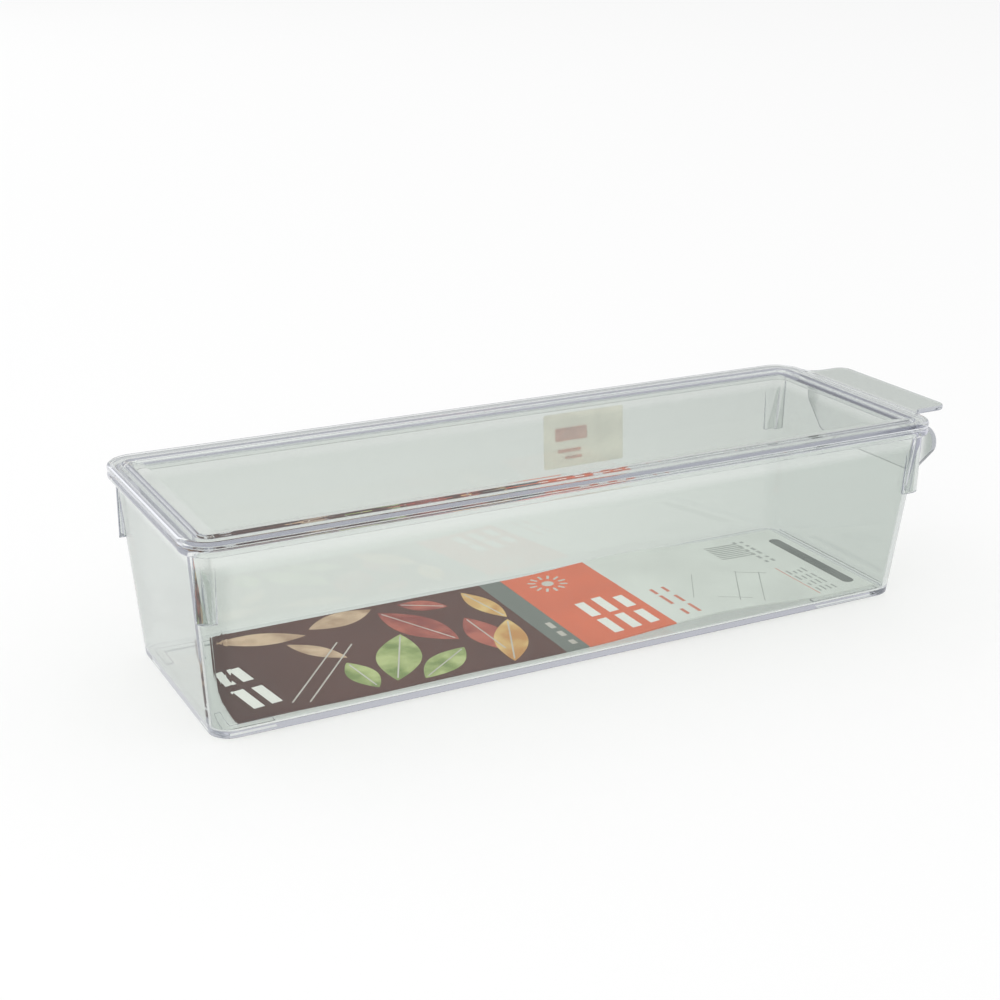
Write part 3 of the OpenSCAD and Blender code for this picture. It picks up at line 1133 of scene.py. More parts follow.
@dataclass
class Lid:
    """The moulded lid: bordered plate with a recessed panel, skirt, plug lip and finger tab.

    Attributes:
        shape: Shared sizes.
        finish: Its plastic.
        height: Height of its edge above the rim.
        border_t: Thickness of its border.
        panel_t: Thickness of its panel.
        skirt: Width of the skirt that bears on the rim.
        upper_round: Radius on its upper edge.
        lower_round: Radius on its lower edge.
        border: Width of the flat border.
        slope: Width of the slope down to the panel.
        recess: Depth of the panel's recess.
        lip_d: Depth of the plug lip below the rim's top.
        lip_t: Thickness of the lip.
        lip_gap: Clearance round the lip.
        lip_round: Radius on the lip's lower edges.
        tab_out: How far the tab reaches past the rim.
        tab_half: Half its width.
        tab_t: Its thickness.
        tab_r: Radius of its outer corners.
        tab_fillet: Radius where it runs into the lid.
        seam: Hair gap between lid and rim.
    """

    shape: Shape
    finish: bpy.types.Material
    height: float = 2.8
    border_t: float = 1.8
    panel_t: float = 1.8
    skirt: float = 2.0
    upper_round: float = 1.2
    lower_round: float = 0.8
    border: float = 7.8
    slope: float = 4.8
    recess: float = 0.9
    lip_d: float = 4.0
    lip_t: float = 1.4
    lip_gap: float = 0.45
    lip_round: float = 0.5
    tab_out: float = 19.0
    tab_half: float = 33.0
    tab_t: float = 2.0
    tab_r: float = 5.0
    tab_fillet: float = 6.0
    seam: float = 0.05

    def from_edge(self, distance: float, z: float, radius: float | None = None) -> Ring:
        """Turn of the lid at a distance in from its edge.

        Args:
            distance: How far in.
            z: Height.
            radius: Corner radius, or None for one that keeps the edge's centre.

        Returns:
            The ring.
        """
        s = self.shape
        r = s.rim_r - distance if radius is None else radius
        return rounded_ring(s.rim_x - distance, s.rim_y - distance, r, z)

    def from_lip(self, distance: float, z: float) -> Ring:
        """Turn of the lid at a distance in from the outer face of its lip.

        Args:
            distance: How far in.
            z: Height.

        Returns:
            The ring.
        """
        s = self.shape
        lean = (self.lip_d - s.rim_h) / s.draft_run
        x = s.wall_x - s.wall - s.draft_x * lean - self.lip_gap
        y = s.wall_y - s.wall - s.draft_y * lean - self.lip_gap
        return rounded_ring(x - distance, y - distance, s.wall_r - s.wall - distance, z)

    def plate(self) -> bpy.types.Object:
        """Makes the lid without its tab, as one turned-over skin from panel to panel.

        Returns:
            The solid.
        """
        top = self.shape.rim_top + self.height
        panel, under = top - self.recess, top - self.border_t
        foot, low = self.shape.rim_top + self.seam, self.shape.rim_top - self.lip_d
        sill, inner, soft = self.border + self.slope, self.lip_t, self.lip_round
        upper, lower = self.upper_round, self.lower_round
        rings = [
            self.from_edge(distance, z, radius)
            for distance, z, radius in (
                (sill + 0.5, panel, 0.8),
                (sill, panel + 0.03, 0.9),
                (sill - 0.5, panel + 0.11, 1.0),
                (self.border + 0.5, top - 0.11, 1.4),
                (self.border, top - 0.03, 1.5),
                (self.border - 0.5, top, 1.6),
            )
        ]
        rings += [self.from_edge(upper * (1 - sn), top - upper * (1 - cs)) for sn, cs in quarter_turn(6)]
        rings += [self.from_edge(lower * (1 - cs), foot + lower * (1 - sn)) for sn, cs in quarter_turn(5)]
        rings += [
            self.from_edge(self.skirt + distance, z)
            for distance, z in ((-0.2, foot), (0.0, foot + 0.2), (0.0, under - 0.2), (0.2, under))
        ]
        rings += [self.from_lip(-0.3, under), self.from_lip(0.0, under - 0.3)]
        rings += [self.from_lip(soft * (1 - cs), low + soft * (1 - sn)) for sn, cs in quarter_turn(3)]
        rings += [self.from_lip(inner - soft * (1 - sn), low + soft * (1 - cs)) for sn, cs in quarter_turn(3)]
        rings += [self.from_lip(inner, under - 0.4), self.from_lip(inner + 0.4, under - 0.06)]
        rings.append(self.from_edge(sill - self.recess, panel - self.panel_t, 0.8))
        return loft("lid_plate", rings)

    def tab(self) -> bpy.types.Object:
        """Makes the finger tab, starting inside the lid's edge.

        Returns:
            The solid.
        """
        s = self.shape
        x1 = s.rim_x + self.tab_out
        x0 = s.rim_x - self.upper_round - 0.5
        root = s.rim_x - 0.3
        half, r, f = self.tab_half, self.tab_r, self.tab_fillet
        plan = [
            (x0, -half - f),
            *arc((root + f, -half - f), f, 180, 90, 8),
            *arc((x1 - r, -half + r), r, -90, 0, 8),
            *arc((x1 - r, half - r), r, 0, 90, 8),
            *arc((root + f, half + f), f, 270, 180, 8),
            (x0, half + f),
        ]
        top = s.rim_top + self.height - 0.01  # just under the lid's face, so that the two don't coincide
        return loft("tab", plate_rings(plan, top - self.tab_t, top, 0.6, 0.7))

    def build(self) -> bpy.types.Object:
        """Joins the plate and the tab and dresses the result.

        Returns:
            The lid, riding on its body and standing for the CAD node.
        """
        piece = self.plate()
        piece.name = "lid_moulding"
        fuse(piece, [(self.tab(), Fuse.JOIN)])
        smooth_by_angle(piece)
        dress(piece, self.finish)
        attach(piece, "lid")
        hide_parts("lid")
        return piece


def lens(centre: Point, length: float, width: float, turn: float) -> list[Point]:
    """Outline of a leaf with two pointed ends.

    Args:
        centre: Its middle.
        length: From point to point.
        width: Across its middle.
        turn: Its direction in degrees.

    Returns:
        Its outline, counterclockwise.
    """
    steps = 14
    points = [
        ((2 * k / steps - 1) * length / 2 * -side, side * width / 2 * math.sin(math.pi * k / steps) ** 0.9)
        for side in (-1, 1)
        for k in range(steps)
    ]
    return turned(points, centre, turn)


def bar(centre: Point, length: float, width: float, turn: float, radius: float) -> list[Point]:
    """Outline of a straight bar.

    Args:
        centre: Its middle.
        length: Its length.
        width: Its width.
        turn: Its direction in degrees.
        radius: Radius of its corners.

    Returns:
        Its outline, counterclockwise.
    """
    return turned(rounded_box(length / 2, width / 2, radius, 4), centre, turn)


class PrintedRows:
    """Geometry Nodes tree that lays out rows of bars, which stand where a card has its words.

    Inputs: rows, row pitch, words in a row, word pitch, longest and shortest word, bar width, seed
    and ink.
    """

    INPUTS = {
        "Rows": "Int", "Pitch": "Float", "Words": "Int", "Step": "Float", "Longest": "Float",
        "Shortest": "Float", "Width": "Float", "Seed": "Int", "Ink": "Material",
    }

    def __init__(self) -> None:
        """Builds the tree once."""
        tree = bpy.data.node_groups.new("printed_rows", "GeometryNodeTree")
        self.tree = tree
        face = tree.interface
        face.new_socket(name="Geometry", in_out="OUTPUT", socket_type="NodeSocketGeometry")
        self.ids = {
            name: face.new_socket(name=name, in_out="INPUT", socket_type="NodeSocket" + kind).identifier
            for name, kind in self.INPUTS.items()
        }
        given = add_node(tree, "NodeGroupInput").outputs
        across = add_node(tree, "ShaderNodeCombineXYZ", inputs={"Y": given["Pitch"]})
        along = add_node(tree, "ShaderNodeCombineXYZ", inputs={"X": given["Step"]})
        rows, words = (
            add_node(tree, "GeometryNodeMeshLine", {"mode": "OFFSET"}, {"Count": given[name], "Offset": step})
            for name, step in (("Rows", across), ("Words", along))
        )
        on_points, realize = "GeometryNodeInstanceOnPoints", "GeometryNodeRealizeInstances"
        places = add_node(tree, on_points, inputs={"Points": rows, "Instance": words})
        points = add_node(tree, realize, inputs={"Geometry": places})
        strip = {"Size X": 1.0, "Size Y": 1.0, "Vertices X": 9, "Vertices Y": 2}
        word = add_node(tree, "GeometryNodeMeshGrid", inputs=strip)
        # a word starts at its point, so its bar is moved half its length along X first
        moved = {"Geometry": word, "Translation": (0.5, 0.0, 0.0)}
        left = add_node(tree, "GeometryNodeTransform", inputs=moved)
        spread = {2: given["Shortest"], 3: given["Longest"], "Seed": given["Seed"]}
        length = add_node(tree, "FunctionNodeRandomValue", {"data_type": "FLOAT"}, spread)
        scale = add_node(tree, "ShaderNodeCombineXYZ", inputs={"X": length, "Y": given["Width"], "Z": 1.0})
        bars = add_node(tree, on_points, inputs={"Points": points, "Instance": left, "Scale": scale})
        real = add_node(tree, realize, inputs={"Geometry": bars})
        inked = add_node(tree, "GeometryNodeSetMaterial", inputs={"Geometry": real, "Material": given["Ink"]})
        add_node(tree, "NodeGroupOutput", inputs={"Geometry": inked})

    def mesh(self, **values: Any) -> bpy.types.Mesh:
        """Runs the tree once.

        Args:
            values: Value of each named input, in millimetres.

        Returns:
            A plain mesh in millimetres, whose rows climb along +Y from the origin.
        """
        carrier = linked("rows", bmesh.new())
        modifier = carrier.modifiers.new("rows", "NODES")
        modifier.node_group = self.tree
        for name, value in values.items():
            modifier[self.ids[name]] = value
        made = evaluated_mesh(carrier)
        carrier.modifiers.remove(modifier)
        bpy.data.objects.remove(carrier)
        return made


@dataclass
class InsertCard:
    """The loose printed card: a thin sheet that bulges off the floor, with plain printed motifs.

    Attributes:
        shape: Shared sizes.
        stock: The finish of its printed side.
        board: The finish of its back and edges.
        rows: Geometry Nodes tree for its printed rows.
        inks: Ink materials by name.
        length: Its length.
        width: Its width.
        thick: Its thickness.
        over_floor: Hair gap between it and the floor.
        middle: Distance from the bin's middle to its own.
        rise: Height of its bulge.
        bulge_x: Distance from its middle to the bulge's.
        bulge_l: Length of the bulge.
        back_r: Radius of its curved back edge.
        wave: Height of the slack waves along its near edge.
        wave_l: Length of the waves, over two pi.
        film: Thickness of the ink.
        layer_t: Height from one ink's face to the next one's.
        cell: Length and width of the patches that the ink is cut into.
        grid: Patches that the sheet itself has along and across.
        sharp: Degrees past which an edge of the sheet shows as one.
    """

    shape: Shape
    stock: bpy.types.Material
    board: bpy.types.Material
    rows: PrintedRows
    inks: dict[str, bpy.types.Material]
    length: float = 273.0
    width: float = 71.0
    thick: float = 0.5
    over_floor: float = 0.03
    middle: float = 2.0
    rise: float = 2.6
    bulge_x: float = 58.0
    bulge_l: float = 110.0
    back_r: float = 250.0
    wave: float = 0.25
    wave_l: float = 11.0
    film: float = 0.015
    layer_t: float = 0.02
    cell: tuple[int, int] = (4, 8)
    grid: tuple[int, int] = (110, 12)
    sharp: float = 40.0

    def lift(self, x: float, y: float) -> float:
        """Height of the card's lower face over the floor.

        Args:
            x: Along the card from its middle.
            y: Across it.

        Returns:
            The height there.
        """
        bulge = 0.0
        if abs(x - self.bulge_x) < self.bulge_l / 2:
            bulge = self.rise * (1 + math.cos(2 * math.pi * (x - self.bulge_x) / self.bulge_l)) / 2
            # the near edge stands a little higher than the far one
            bulge *= 0.9 - 0.1 * y / (self.width / 2)
        slack = self.wave * max(0.0, -y / (self.width / 2)) ** 2
        return bulge + slack * (1 + math.sin(x / self.wave_l)) / 2

    def at(self, x: float, y: float, over: float) -> Vector:
        """Point of the card in the frame, in metres.

        Args:
            x: Along the card from its middle.
            y: Across it.
            over: Height over its lower face.

        Returns:
            The point.
        """
        z = self.shape.floor_z + self.over_floor + self.lift(x, y) + over
        return Vector((BIN_MIDDLE + self.middle + x, y, z)) * MM

    def back_edge(self, y: float) -> float:
        """Where the card's curved back edge lies at a distance across it."""
        reach = self.back_r**2 - (y + self.width / 2) ** 2
        return self.back_r - self.length / 2 - math.sqrt(reach)

    def sheet(self) -> bpy.types.Object:
        """Makes the card itself, a closed slab that follows its bulge.

        Returns:
            The piece.
        """
        bm = bmesh.new()
        nx, ny = self.grid
        lanes = [-self.width / 2 + self.width * j / ny for j in range(ny + 1)]
        edges = [(y, self.back_edge(y)) for y in lanes]
        low, high = (
            [
                [bm.verts.new(self.at(x0 + (self.length / 2 - x0) * i / nx, y, over)) for i in range(nx + 1)]
                for y, x0 in edges
            ]
            for over in (0.0, self.thick)
        )
        for j in range(ny):
            for i in range(nx):
                bm.faces.new((high[j][i], high[j][i + 1], high[j + 1][i + 1], high[j + 1][i]))
                bm.faces.new((low[j][i], low[j + 1][i], low[j + 1][i + 1], low[j][i + 1]))
        for i in range(nx):
            bm.faces.new((low[0][i], low[0][i + 1], high[0][i + 1], high[0][i]))
            bm.faces.new((low[ny][i + 1], low[ny][i], high[ny][i], high[ny][i + 1]))
        for j in range(ny):
            bm.faces.new((low[j + 1][0], low[j][0], high[j][0], high[j + 1][0]))
            bm.faces.new((low[j][nx], low[j + 1][nx], high[j + 1][nx], high[j][nx]))
        bm.normal_update()
        for face in bm.faces:
            face.material_index = int(face.normal.z < 0.5)
        return linked("insert_card_sheet", bm)

    def print_flat(self, name: str, ink: str, layer: int, bm: bmesh.types.BMesh) -> bpy.types.Object:
        """Lays a flat print on the card as a closed film of ink.

        Args:
            name: Name of the piece.
            ink: Name of its ink.
            layer: 1 for ink on the card, more for ink on other ink.
            bm: The print, in card millimetres. It is cut into cells so that it can follow the bulge.

        Returns:
            The piece.
        """
        half = (int(self.length / 2), int(self.width / 2))
        for axis, (reach, step) in enumerate(zip(half, self.cell)):
            normal = (1 - axis, axis, 0)
            for k in range(-(reach // step), reach // step + 1):
                place = (k * step * (1 - axis), k * step * axis, 0)
                cut = [*bm.verts, *bm.edges, *bm.faces]
                bmesh.ops.bisect_plane(bm, geom=cut, plane_co=place, plane_no=normal)
        bmesh.ops.remove_doubles(bm, verts=bm.verts, dist=0.02)
        faces = list(bm.faces)
        for face in faces:
            face.normal_update()
            if face.normal.z < 0:
                face.normal_flip()
        loops = [loop for face in faces for loop in face.loops if loop.edge.is_boundary]
        border = [(loop.vert, loop.link_loop_next.vert) for loop in loops]
        over = self.thick + self.layer_t * layer
        under = {v: bm.verts.new(self.at(v.co.x, v.co.y, over - self.film)) for v in list(bm.verts)}
        for vert in under:
            vert.co = self.at(vert.co.x, vert.co.y, over)
        for face in faces:
            bm.faces.new([under[vert] for vert in reversed(face.verts)])
        for start, end in border:
            bm.faces.new((end, start, under[start], under[end]))
        piece = linked(name, bm)
        dress(piece, self.inks[ink])
        return piece

    def motifs(self, name: str, ink: str, layer: int, outlines: list[list[Point]]) -> bpy.types.Object:
        """Makes one ink's motifs.

        Args:
            name: Name of the piece.
            ink: Name of its ink.
            layer: Its place in the order of printing.
            outlines: Outline of each motif, in card millimetres.

        Returns:
            The piece.
        """
        bm = bmesh.new()
        for outline in outlines:
            bm.faces.new([bm.verts.new((x, y, 0)) for x, y in outline])
        return self.print_flat(name, ink, layer, bm)

    def text_block(self, name: str, ink: str, place: Point, turn: float, **sizes: float) -> bpy.types.Object:
        """Rows of plain bars that stand where a card has its small print.

        Args:
            name: Name of the piece.
            ink: Name of its ink.
            place: Where the first row starts, in card millimetres.
            turn: Direction of the rows in degrees.
            sizes: Inputs of the rows' tree.

        Returns:
            The piece.
        """
        mesh = self.rows.mesh(Ink=self.inks[ink], **sizes)
        bm = bmesh.new()
        bm.from_mesh(mesh)
        bpy.data.meshes.remove(mesh)
        bm.transform(Matrix.Translation((*place, 0)) @ Matrix.Rotation(math.radians(turn), 4, "Z"))
        return self.print_flat(name, ink, 1, bm)

    def leaves(self) -> list[bpy.types.Object]:
        """Makes the leaves, by ink, and the fine lines over them.

        Leaves of one ink never overlap, because they lie at one height, and none hangs over the edge.

        Returns:
            The pieces.
        """
        inked = (
            ("sand", "warm_sand", ((-106, 25, 34, 11, -14), (-72, 29, 30, 12, 14), (-91, 6, 26, 8, -52))),
            ("green", "leaf_green", ((-66, -12, 40, 17, 64), (-53, -24, 30, 13, 36), (-84, -20, 24, 11, 96))),
            ("red", "berry_red", ((-48, 10, 40, 17, 116), (-28, -8, 34, 14, 92), (-38, 27, 20, 10, 150))),
            ("amber", "melon_amber", ((-22, -17, 38, 13, 66), (-16, 17, 30, 10, 100))),
        )
        made = [
            self.motifs(f"card_leaves_{name}", ink, layer, [lens((x, y), *sizes) for x, y, *sizes in leaves])
            for layer, (name, ink, leaves) in enumerate(inked, 1)
        ]
        lines = (
            (-66, -12, 36, 64), (-53, -24, 26, 36), (-84, -20, 20, 96), (-48, 10, 36, 116),
            (-28, -8, 30, 92), (-38, 27, 17, 150), (-22, -17, 34, 66), (-16, 17, 26, 100),
            (-98, -10, 52, 50), (-93, -13, 50, 50),
        )
        fine = [bar((x, y), length, 0.6, turn, 0.3) for x, y, length, turn in lines]
        return [*made, self.motifs("card_fine_lines", "soft_white", len(inked) + 1, fine)]

    def text(self) -> list[bpy.types.Object]:
        """Makes the rows of bars from their ink, place, direction and the tree's inputs up to its seed.

        Returns:
            The pieces.
        """
        return [
            self.text_block(name, ink, place, turn, **dict(zip(PrintedRows.INPUTS, sizes)))
            for name, ink, place, turn, sizes in (
                ("card_rows_white", "paper_white", (-119, -27), 98, (2, 7.0, 2, 21.0, 17.0, 11.0, 4.2, 4)),
                ("card_rows_strip", "soft_white", (-2.2, -31), 90, (1, 3.0, 3, 8.0, 6.4, 3.0, 2.4, 2)),
                ("card_rows_title", "paper_white", (34, -30), 90, (3, 8.0, 2, 17.0, 15.0, 9.0, 4.2, 11)),
                ("card_rows_red", "brick_red", (54, -31), 90, (2, 5.4, 3, 11.0, 9.4, 5.0, 1.5, 7)),
                ("card_rows_small", "print_grey", (121, -31), 90, (4, 2.6, 4, 6.4, 5.4, 2.2, 0.9, 5)),
                ("card_stripes", "print_grey", (96, 14), 0, (8, 1.9, 1, 1.0, 17.0, 17.0, 0.9, 1)),
                ("card_rows_ticks", "print_grey", (116, 4), 90, (2, 3.4, 6, 4.6, 3.4, 1.6, 1.6, 9)),
            )
        ]

    def marks(self) -> list[bpy.types.Object]:
        """Makes the pill shape, the rosette of bars, the outlined shape and the rule.

        Returns:
            The pieces.
        """
        middle, reach = (17, 24), 6.5
        spokes = [bar(place, 3.4, 1.1, 30 * k, 0.5) for k, place in enumerate(arc(middle, reach, 0, 330, 11))]
        sides = (
            (84, -14, 34, 0.35, 58), (93, -18, 34, 0.35, 58), (75, -25, 14, 0.35, -24),
            (98, -3, 14, 0.35, -24), (66, -8, 26, 0.3, 58),
        )
        return [
            self.motifs(name, ink, 1, outlines)
            for name, ink, outlines in (
                ("card_pill", "pill_grey", [bar((130, -2), 54, 5.4, 90, 2.6)]),
                ("card_rosette", "soft_white", [*spokes, bar(middle, 5.0, 5.0, 0, 2.45)]),
                ("card_outline", "print_grey", [bar((x, y), *sizes, 0.15) for x, y, *sizes in sides]),
                ("card_rule", "brick_red", [bar((111, -18), 30, 0.4, 90, 0.1)]),
            )
        ]

    def build(self) -> list[bpy.types.Object]:
        """Makes the sheet and its print.

        Returns:
            The pieces, all riding on the bin's body.
        """
        sheet = self.sheet()
        sheet.data.shade_smooth()
        sheet.data.set_sharp_from_angle(angle=math.radians(self.sharp))
        dress(sheet, self.stock, self.board)
        made = [sheet, *self.leaves(), *self.text(), *self.marks()]
        for piece in made:
            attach(piece, "bin")
        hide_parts("insert_card")
        return made


@dataclass
class PriceLabel:
    """The shop's label, flat on the far wall's outer face.

    Attributes:
        shape: Shared sizes.
        paper: Its paper.
        front_ink: Ink on its face.
        ghost_ink: The same ink as it shows through the paper from behind.
        length: Its length.
        height: Its height.
        corner: Radius of its corners.
        back: Distance of its back from the wall.
        face: Distance of its face from the wall.
        front_levels: Distances of the front ink's back and face.
        ghost_levels: The same for the ink seen through.
        middle_x: Distance along X from the bin's middle.
        middle_z: Height of its middle.
    """

    shape: Shape
    paper: bpy.types.Material
    front_ink: bpy.types.Material
    ghost_ink: bpy.types.Material
    length: float = 38.0
    height: float = 23.0
    corner: float = 0.8
    back: float = 0.04
    face: float = 0.2
    front_levels: Point = (0.198, 0.215)
    ghost_levels: Point = (0.025, 0.045)
    middle_x: float = 47.5
    middle_z: float = 54.6

    def frame(self) -> Matrix:
        """Works out how the label lies on the leaning wall.

        Returns:
            Matrix from the label's own millimetres, with Z outwards, to the frame's.
        """
        s = self.shape
        lean = math.atan(s.draft_y / s.draft_run)
        y = s.wall_y - s.draft_y * (s.wall_top - self.middle_z) / s.draft_run
        along = Vector((-1, 0, 0))
        up = Vector((0, math.sin(lean), math.cos(lean)))
        turn = Matrix((along, up, along.cross(up))).transposed().to_4x4()
        return Matrix.Translation((BIN_MIDDLE + self.middle_x, y, self.middle_z)) @ turn

    def solid(
        self, name: str, finish: bpy.types.Material, outlines: list[list[Point]], levels: Point
    ) -> bpy.types.Object:
        """Flat shapes on the label as one piece.

        Args:
            name: Name of the piece.
            finish: Its material.
            outlines: Their outlines.
            levels: Distances of their back and face from the wall.

        Returns:
            The piece.
        """
        bm = bmesh.new()
        for outline in outlines:
            skin(bm, [[bm.verts.new((x, y, z)) for x, y in outline] for z in levels])
        bm.transform(Matrix.Scale(MM, 4) @ self.frame())
        piece = linked(name, bm)
        dress(piece, finish)
        return piece

    def build(self) -> list[bpy.types.Object]:
        """Makes the label and its plain print.

        Returns:
            The pieces, riding on the bin's body.
        """
        outline = bar((0, 0), self.length, self.height, 0, self.corner)
        bars = ((6, 2.5, 15, 5.5, 0.6), (7, -4.5, 11, 1.4, 0.3), (5, -7.5, 8, 1.2, 0.3))
        marks = [bar((x, y), length, width, 0, corner) for x, y, length, width, corner in bars]
        sheet = self.solid("label_sheet", self.paper, [outline], (self.back, self.face))
        front = self.solid("label_print", self.front_ink, marks, self.front_levels)
        ghost = self.solid("label_print_seen_through", self.ghost_ink, marks, self.ghost_levels)
        for piece in (sheet, front, ghost):
            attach(piece, "bin")
        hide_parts("price_label")
        return [sheet, front, ghost]


# ---------------------------------------------------------------------------- the studio


@dataclass
class Studio:
    """Pale floor, soft light and the camera.

    Attributes:
        azimuth: Camera's direction round the object in degrees.
        elevation: Its height above the horizon in degrees.
        roll: Its roll in degrees.
        distance: Its distance from the target in millimetres.
        target: The point at the picture's middle in millimetres.
        focal: Focal length in pixels of the picture.
        picture: Width of the picture in pixels.
        sensor: Width of the sensor in millimetres.
        floor_r: Radius of the floor in metres.
        floor_drop: How far it lies under the feet in metres.
        floor_paint: sRGB hex colour of its paint.
        sweep_shares: How much of the floor is plain white to each kind of ray.
        behind: Heights and linear colours of the sky behind the object.
        before: The same on the camera's side.
        sky_change: Where along Y the one becomes the other.
        sky_strength: Strength of the sky's light.
        aim: What the lamps point at, in metres.
        lamps: Name, place and size in metres, and power in watts of each soft box.
    """

    azimuth: float = -28.31
    elevation: float = 19.70
    roll: float = 0.73
    distance: float = 631.27
    target: tuple[float, float, float] = (-25.41, 0.0, 53.01)
    focal: float = 1679.74
    picture: float = 1000.0
    sensor: float = 36.0
    floor_r: float = 14.0
    floor_drop: float = 0.0002
    floor_paint: str = "f2f2f2"
    sweep_shares: tuple[tuple[str, float], ...] = (
        ("Is Camera Ray", 0.3), ("Is Glossy Ray", 0.85), ("Is Transmission Ray", 0.1),
    )
    behind: tuple[tuple[float, Colour], ...] = (
        (0.0, (0.46, 0.47, 0.46, 1.0)),
        (0.30, (0.52, 0.53, 0.52, 1.0)),
        (0.60, (0.90, 0.90, 0.90, 1.0)),
        (1.0, WHITE),
    )
    before: tuple[tuple[float, Colour], ...] = ((0.0, (0.86, 0.86, 0.86, 1.0)), (1.0, WHITE))
    sky_change: Point = (-0.35, 0.35)
    sky_strength: float = 1.12
    aim: tuple[float, float, float] = (-0.01, 0.0, 0.04)
    lamps: tuple[tuple[str, tuple[float, float, float], float, float], ...] = (
        ("key_box", (-0.9, -0.5, 1.1), 0.8, 1.6),
        ("back_box", (-2.2, 2.6, 2.0), 4.2, 26.0),
    )

    def camera(self) -> None:
        """Makes the scene's camera at the photograph's angle."""
        az, el, roll = (math.radians(a) for a in (self.azimuth, self.elevation, self.roll))
        back = Vector((math.sin(az) * math.cos(el), -math.cos(az) * math.cos(el), math.sin(el)))
        side = (-back).cross(Vector((0, 0, 1))).normalized()
        upright = side.cross(-back).normalized()
        right = math.cos(roll) * side + math.sin(roll) * upright
        up = -math.sin(roll) * side + math.cos(roll) * upright
        data = bpy.data.cameras.new("camera")
        data.sensor_width = self.sensor
        data.lens = self.focal * self.sensor / self.picture
        data.clip_start, data.clip_end = 0.01, 50.0
        made = bpy.data.objects.new("camera", data)
        bpy.context.scene.collection.objects.link(made)
        turn = Matrix((right, up, back)).transposed().to_4x4()
        made.matrix_world = Matrix.Translation((Vector(self.target) + back * self.distance) * MM) @ turn
        bpy.context.scene.camera = made

    def floor(self) -> None:
        """Makes the floor: matt white paint on a wide disc."""
        made, tree = new_material("white_studio_floor")
        paint = add_node(tree, "ShaderNodeBsdfDiffuse", inputs={"Color": linear(self.floor_paint)})
        # seen straight it is a white sweep that keeps a soft shadow, a mirroring face shows mostly the
        # sweep, and through plastic the paint shows with the shadow under the bin
        rays = add_node(tree, "ShaderNodeLightPath").outputs
        share, *others = (
            add_node(tree, "ShaderNodeMath", {"operation": "MULTIPLY"}, {0: rays[ray], 1: part})
            for ray, part in self.sweep_shares
        )
        for other in others:
            share = add_node(tree, "ShaderNodeMath", {"operation": "MAXIMUM"}, {0: share, 1: other})
        sweep = add_node(tree, "ShaderNodeEmission", inputs={"Strength": 1.0})
        shader = add_node(tree, "ShaderNodeMixShader", inputs={0: share, 1: paint, 2: sweep})
        add_node(tree, "ShaderNodeOutputMaterial", inputs={"Surface": shader})
        bm = bmesh.new()
        bmesh.ops.create_circle(bm, cap_ends=True, segments=64, radius=self.floor_r)
        bmesh.ops.translate(bm, verts=bm.verts, vec=(0, 0, -self.floor_drop))
        floor = linked("studio_floor", bm)
        dress(floor, made)

    def world(self) -> None:
        """Makes a soft sky, dimmer low down behind the object, that the camera itself sees as plain white."""
        made = bpy.data.worlds.new("studio_sky")
        bpy.context.scene.world = made
        made.use_nodes = True
        tree = made.node_tree
        tree.nodes.clear()
        place = add_node(tree, "ShaderNodeTexCoord").outputs["Generated"]
        axes = add_node(tree, "ShaderNodeSeparateXYZ", inputs={"Vector": place}).outputs
        before, behind = (
            add_node(tree, "ShaderNodeValToRGB", {"stops": stops}, {"Fac": axes["Z"]})
            for stops in (self.before, self.behind)
        )
        low, high = self.sky_change
        side = {"Value": axes["Y"], "From Min": low, "From Max": high}
        change = add_node(tree, "ShaderNodeMapRange", SMOOTH_STEP, side)
        sky = add_node(tree, "ShaderNodeMix", COLOURS, {"Factor": change, 6: before, 7: behind})
        light, plain = (
            add_node(tree, "ShaderNodeBackground", inputs={"Color": colour, "Strength": strength})
            for colour, strength in ((sky, self.sky_strength), (WHITE, 1.0))
        )
        straight = add_node(tree, "ShaderNodeLightPath").outputs["Is Camera Ray"]
        shader = add_node(tree, "ShaderNodeMixShader", inputs={0: straight, 1: light, 2: plain})
        add_node(tree, "ShaderNodeOutputWorld", inputs={"Surface": shader})

    def soft_boxes(self) -> None:
        """Hangs the lamps, turned towards the object."""
        for name, place, size, watts in self.lamps:
            data = bpy.data.lights.new(name, "AREA")
            data.shape = "SQUARE"
            data.size = size
            data.energy = watts
            made = bpy.data.objects.new(name, data)
            bpy.context.scene.collection.objects.link(made)
            made.location = place
            made.rotation_mode = "QUATERNION"
            made.rotation_quaternion = (Vector(self.aim) - Vector(place)).to_track_quat("-Z", "Y")

    def build(self) -> None:
        """Sets the whole studio up."""
        bpy.context.scene.view_settings.view_transform = "Standard"
        self.camera()
        self.floor()
        self.world()
        self.soft_boxes()


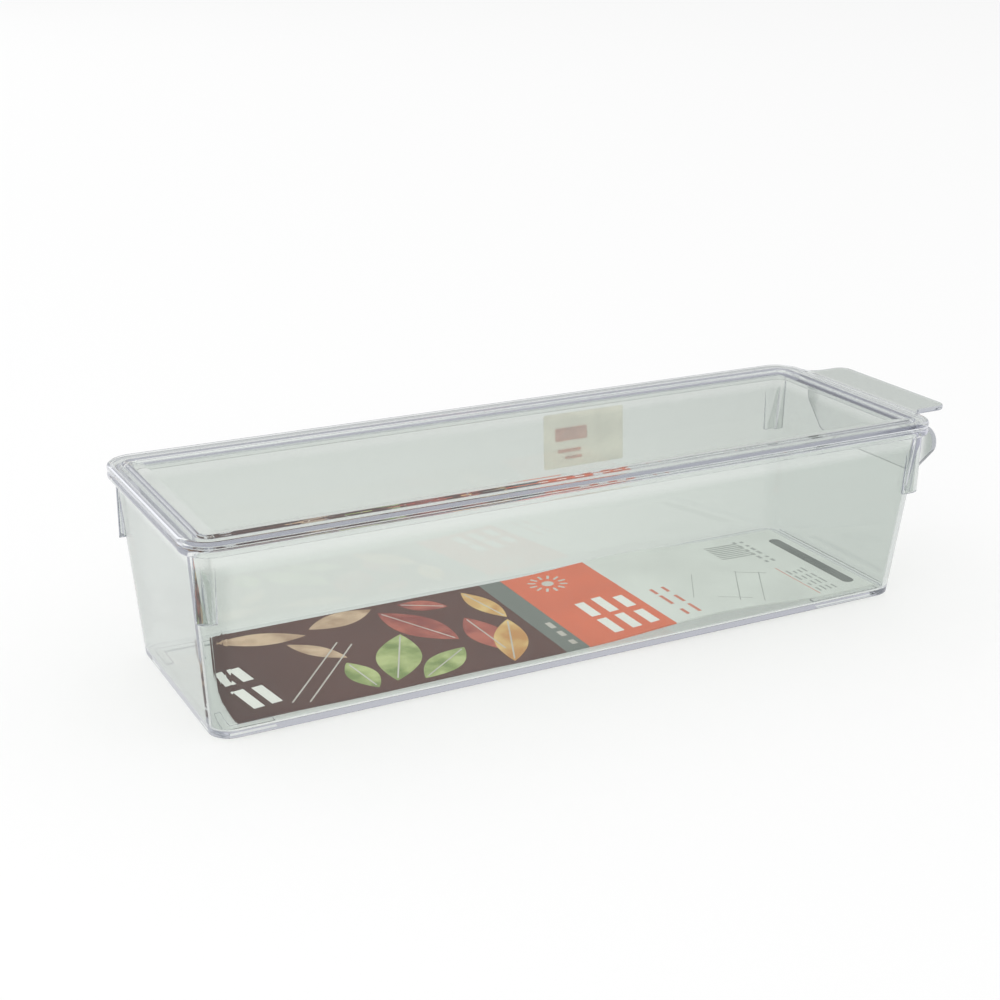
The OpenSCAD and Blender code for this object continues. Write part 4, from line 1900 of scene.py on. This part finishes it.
def main() -> None:
    """Builds the organizer in its studio."""
    logging.basicConfig(level=logging.INFO, format="%(message)s")
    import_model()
    Studio().build()
    shape = Shape()
    plastic = CrystalPlastic().material()
    inks = {
        ink.name: ink.material()
        for ink in (
            Ink("leaf_green", "c3cf8e", "7f9650"),
            Ink("berry_red", "c46a58", "8e3a34"),
            Ink("melon_amber", "ecca86", "cf9450"),
            Ink("warm_sand", "dfc2a4", "b08f74"),
            Ink("paper_white", "fafaf7", "f2f2ee", 20.0),
            Ink("soft_white", "d9d5cf", "c6c0b8", 20.0),
            Ink("brick_red", "e08a74", "d87a64", 20.0),
            Ink("print_grey", "b4b8b6", "a0a5a3", 20.0),
            Ink("pill_grey", "7d8280", "6c7270", 12.0),
        )
    }
    papers = (
        StickerPaper(),
        StickerPaper("sticker_print", "e0584b"),
        StickerPaper("sticker_print_through_paper", "f7d6cc", 0.6),
    )
    pieces = [
        Bin(shape, plastic).build(),
        Lid(shape, plastic).build(),
        *InsertCard(shape, CardStock().material(), CardBack().material(), PrintedRows(), inks).build(),
        *PriceLabel(shape, *(paper.material() for paper in papers)).build(),
    ]
    for piece in pieces:
        LOG.info("%s: %d faces", piece.name, len(piece.data.polygons))


if __name__ == "__main__":
    main()
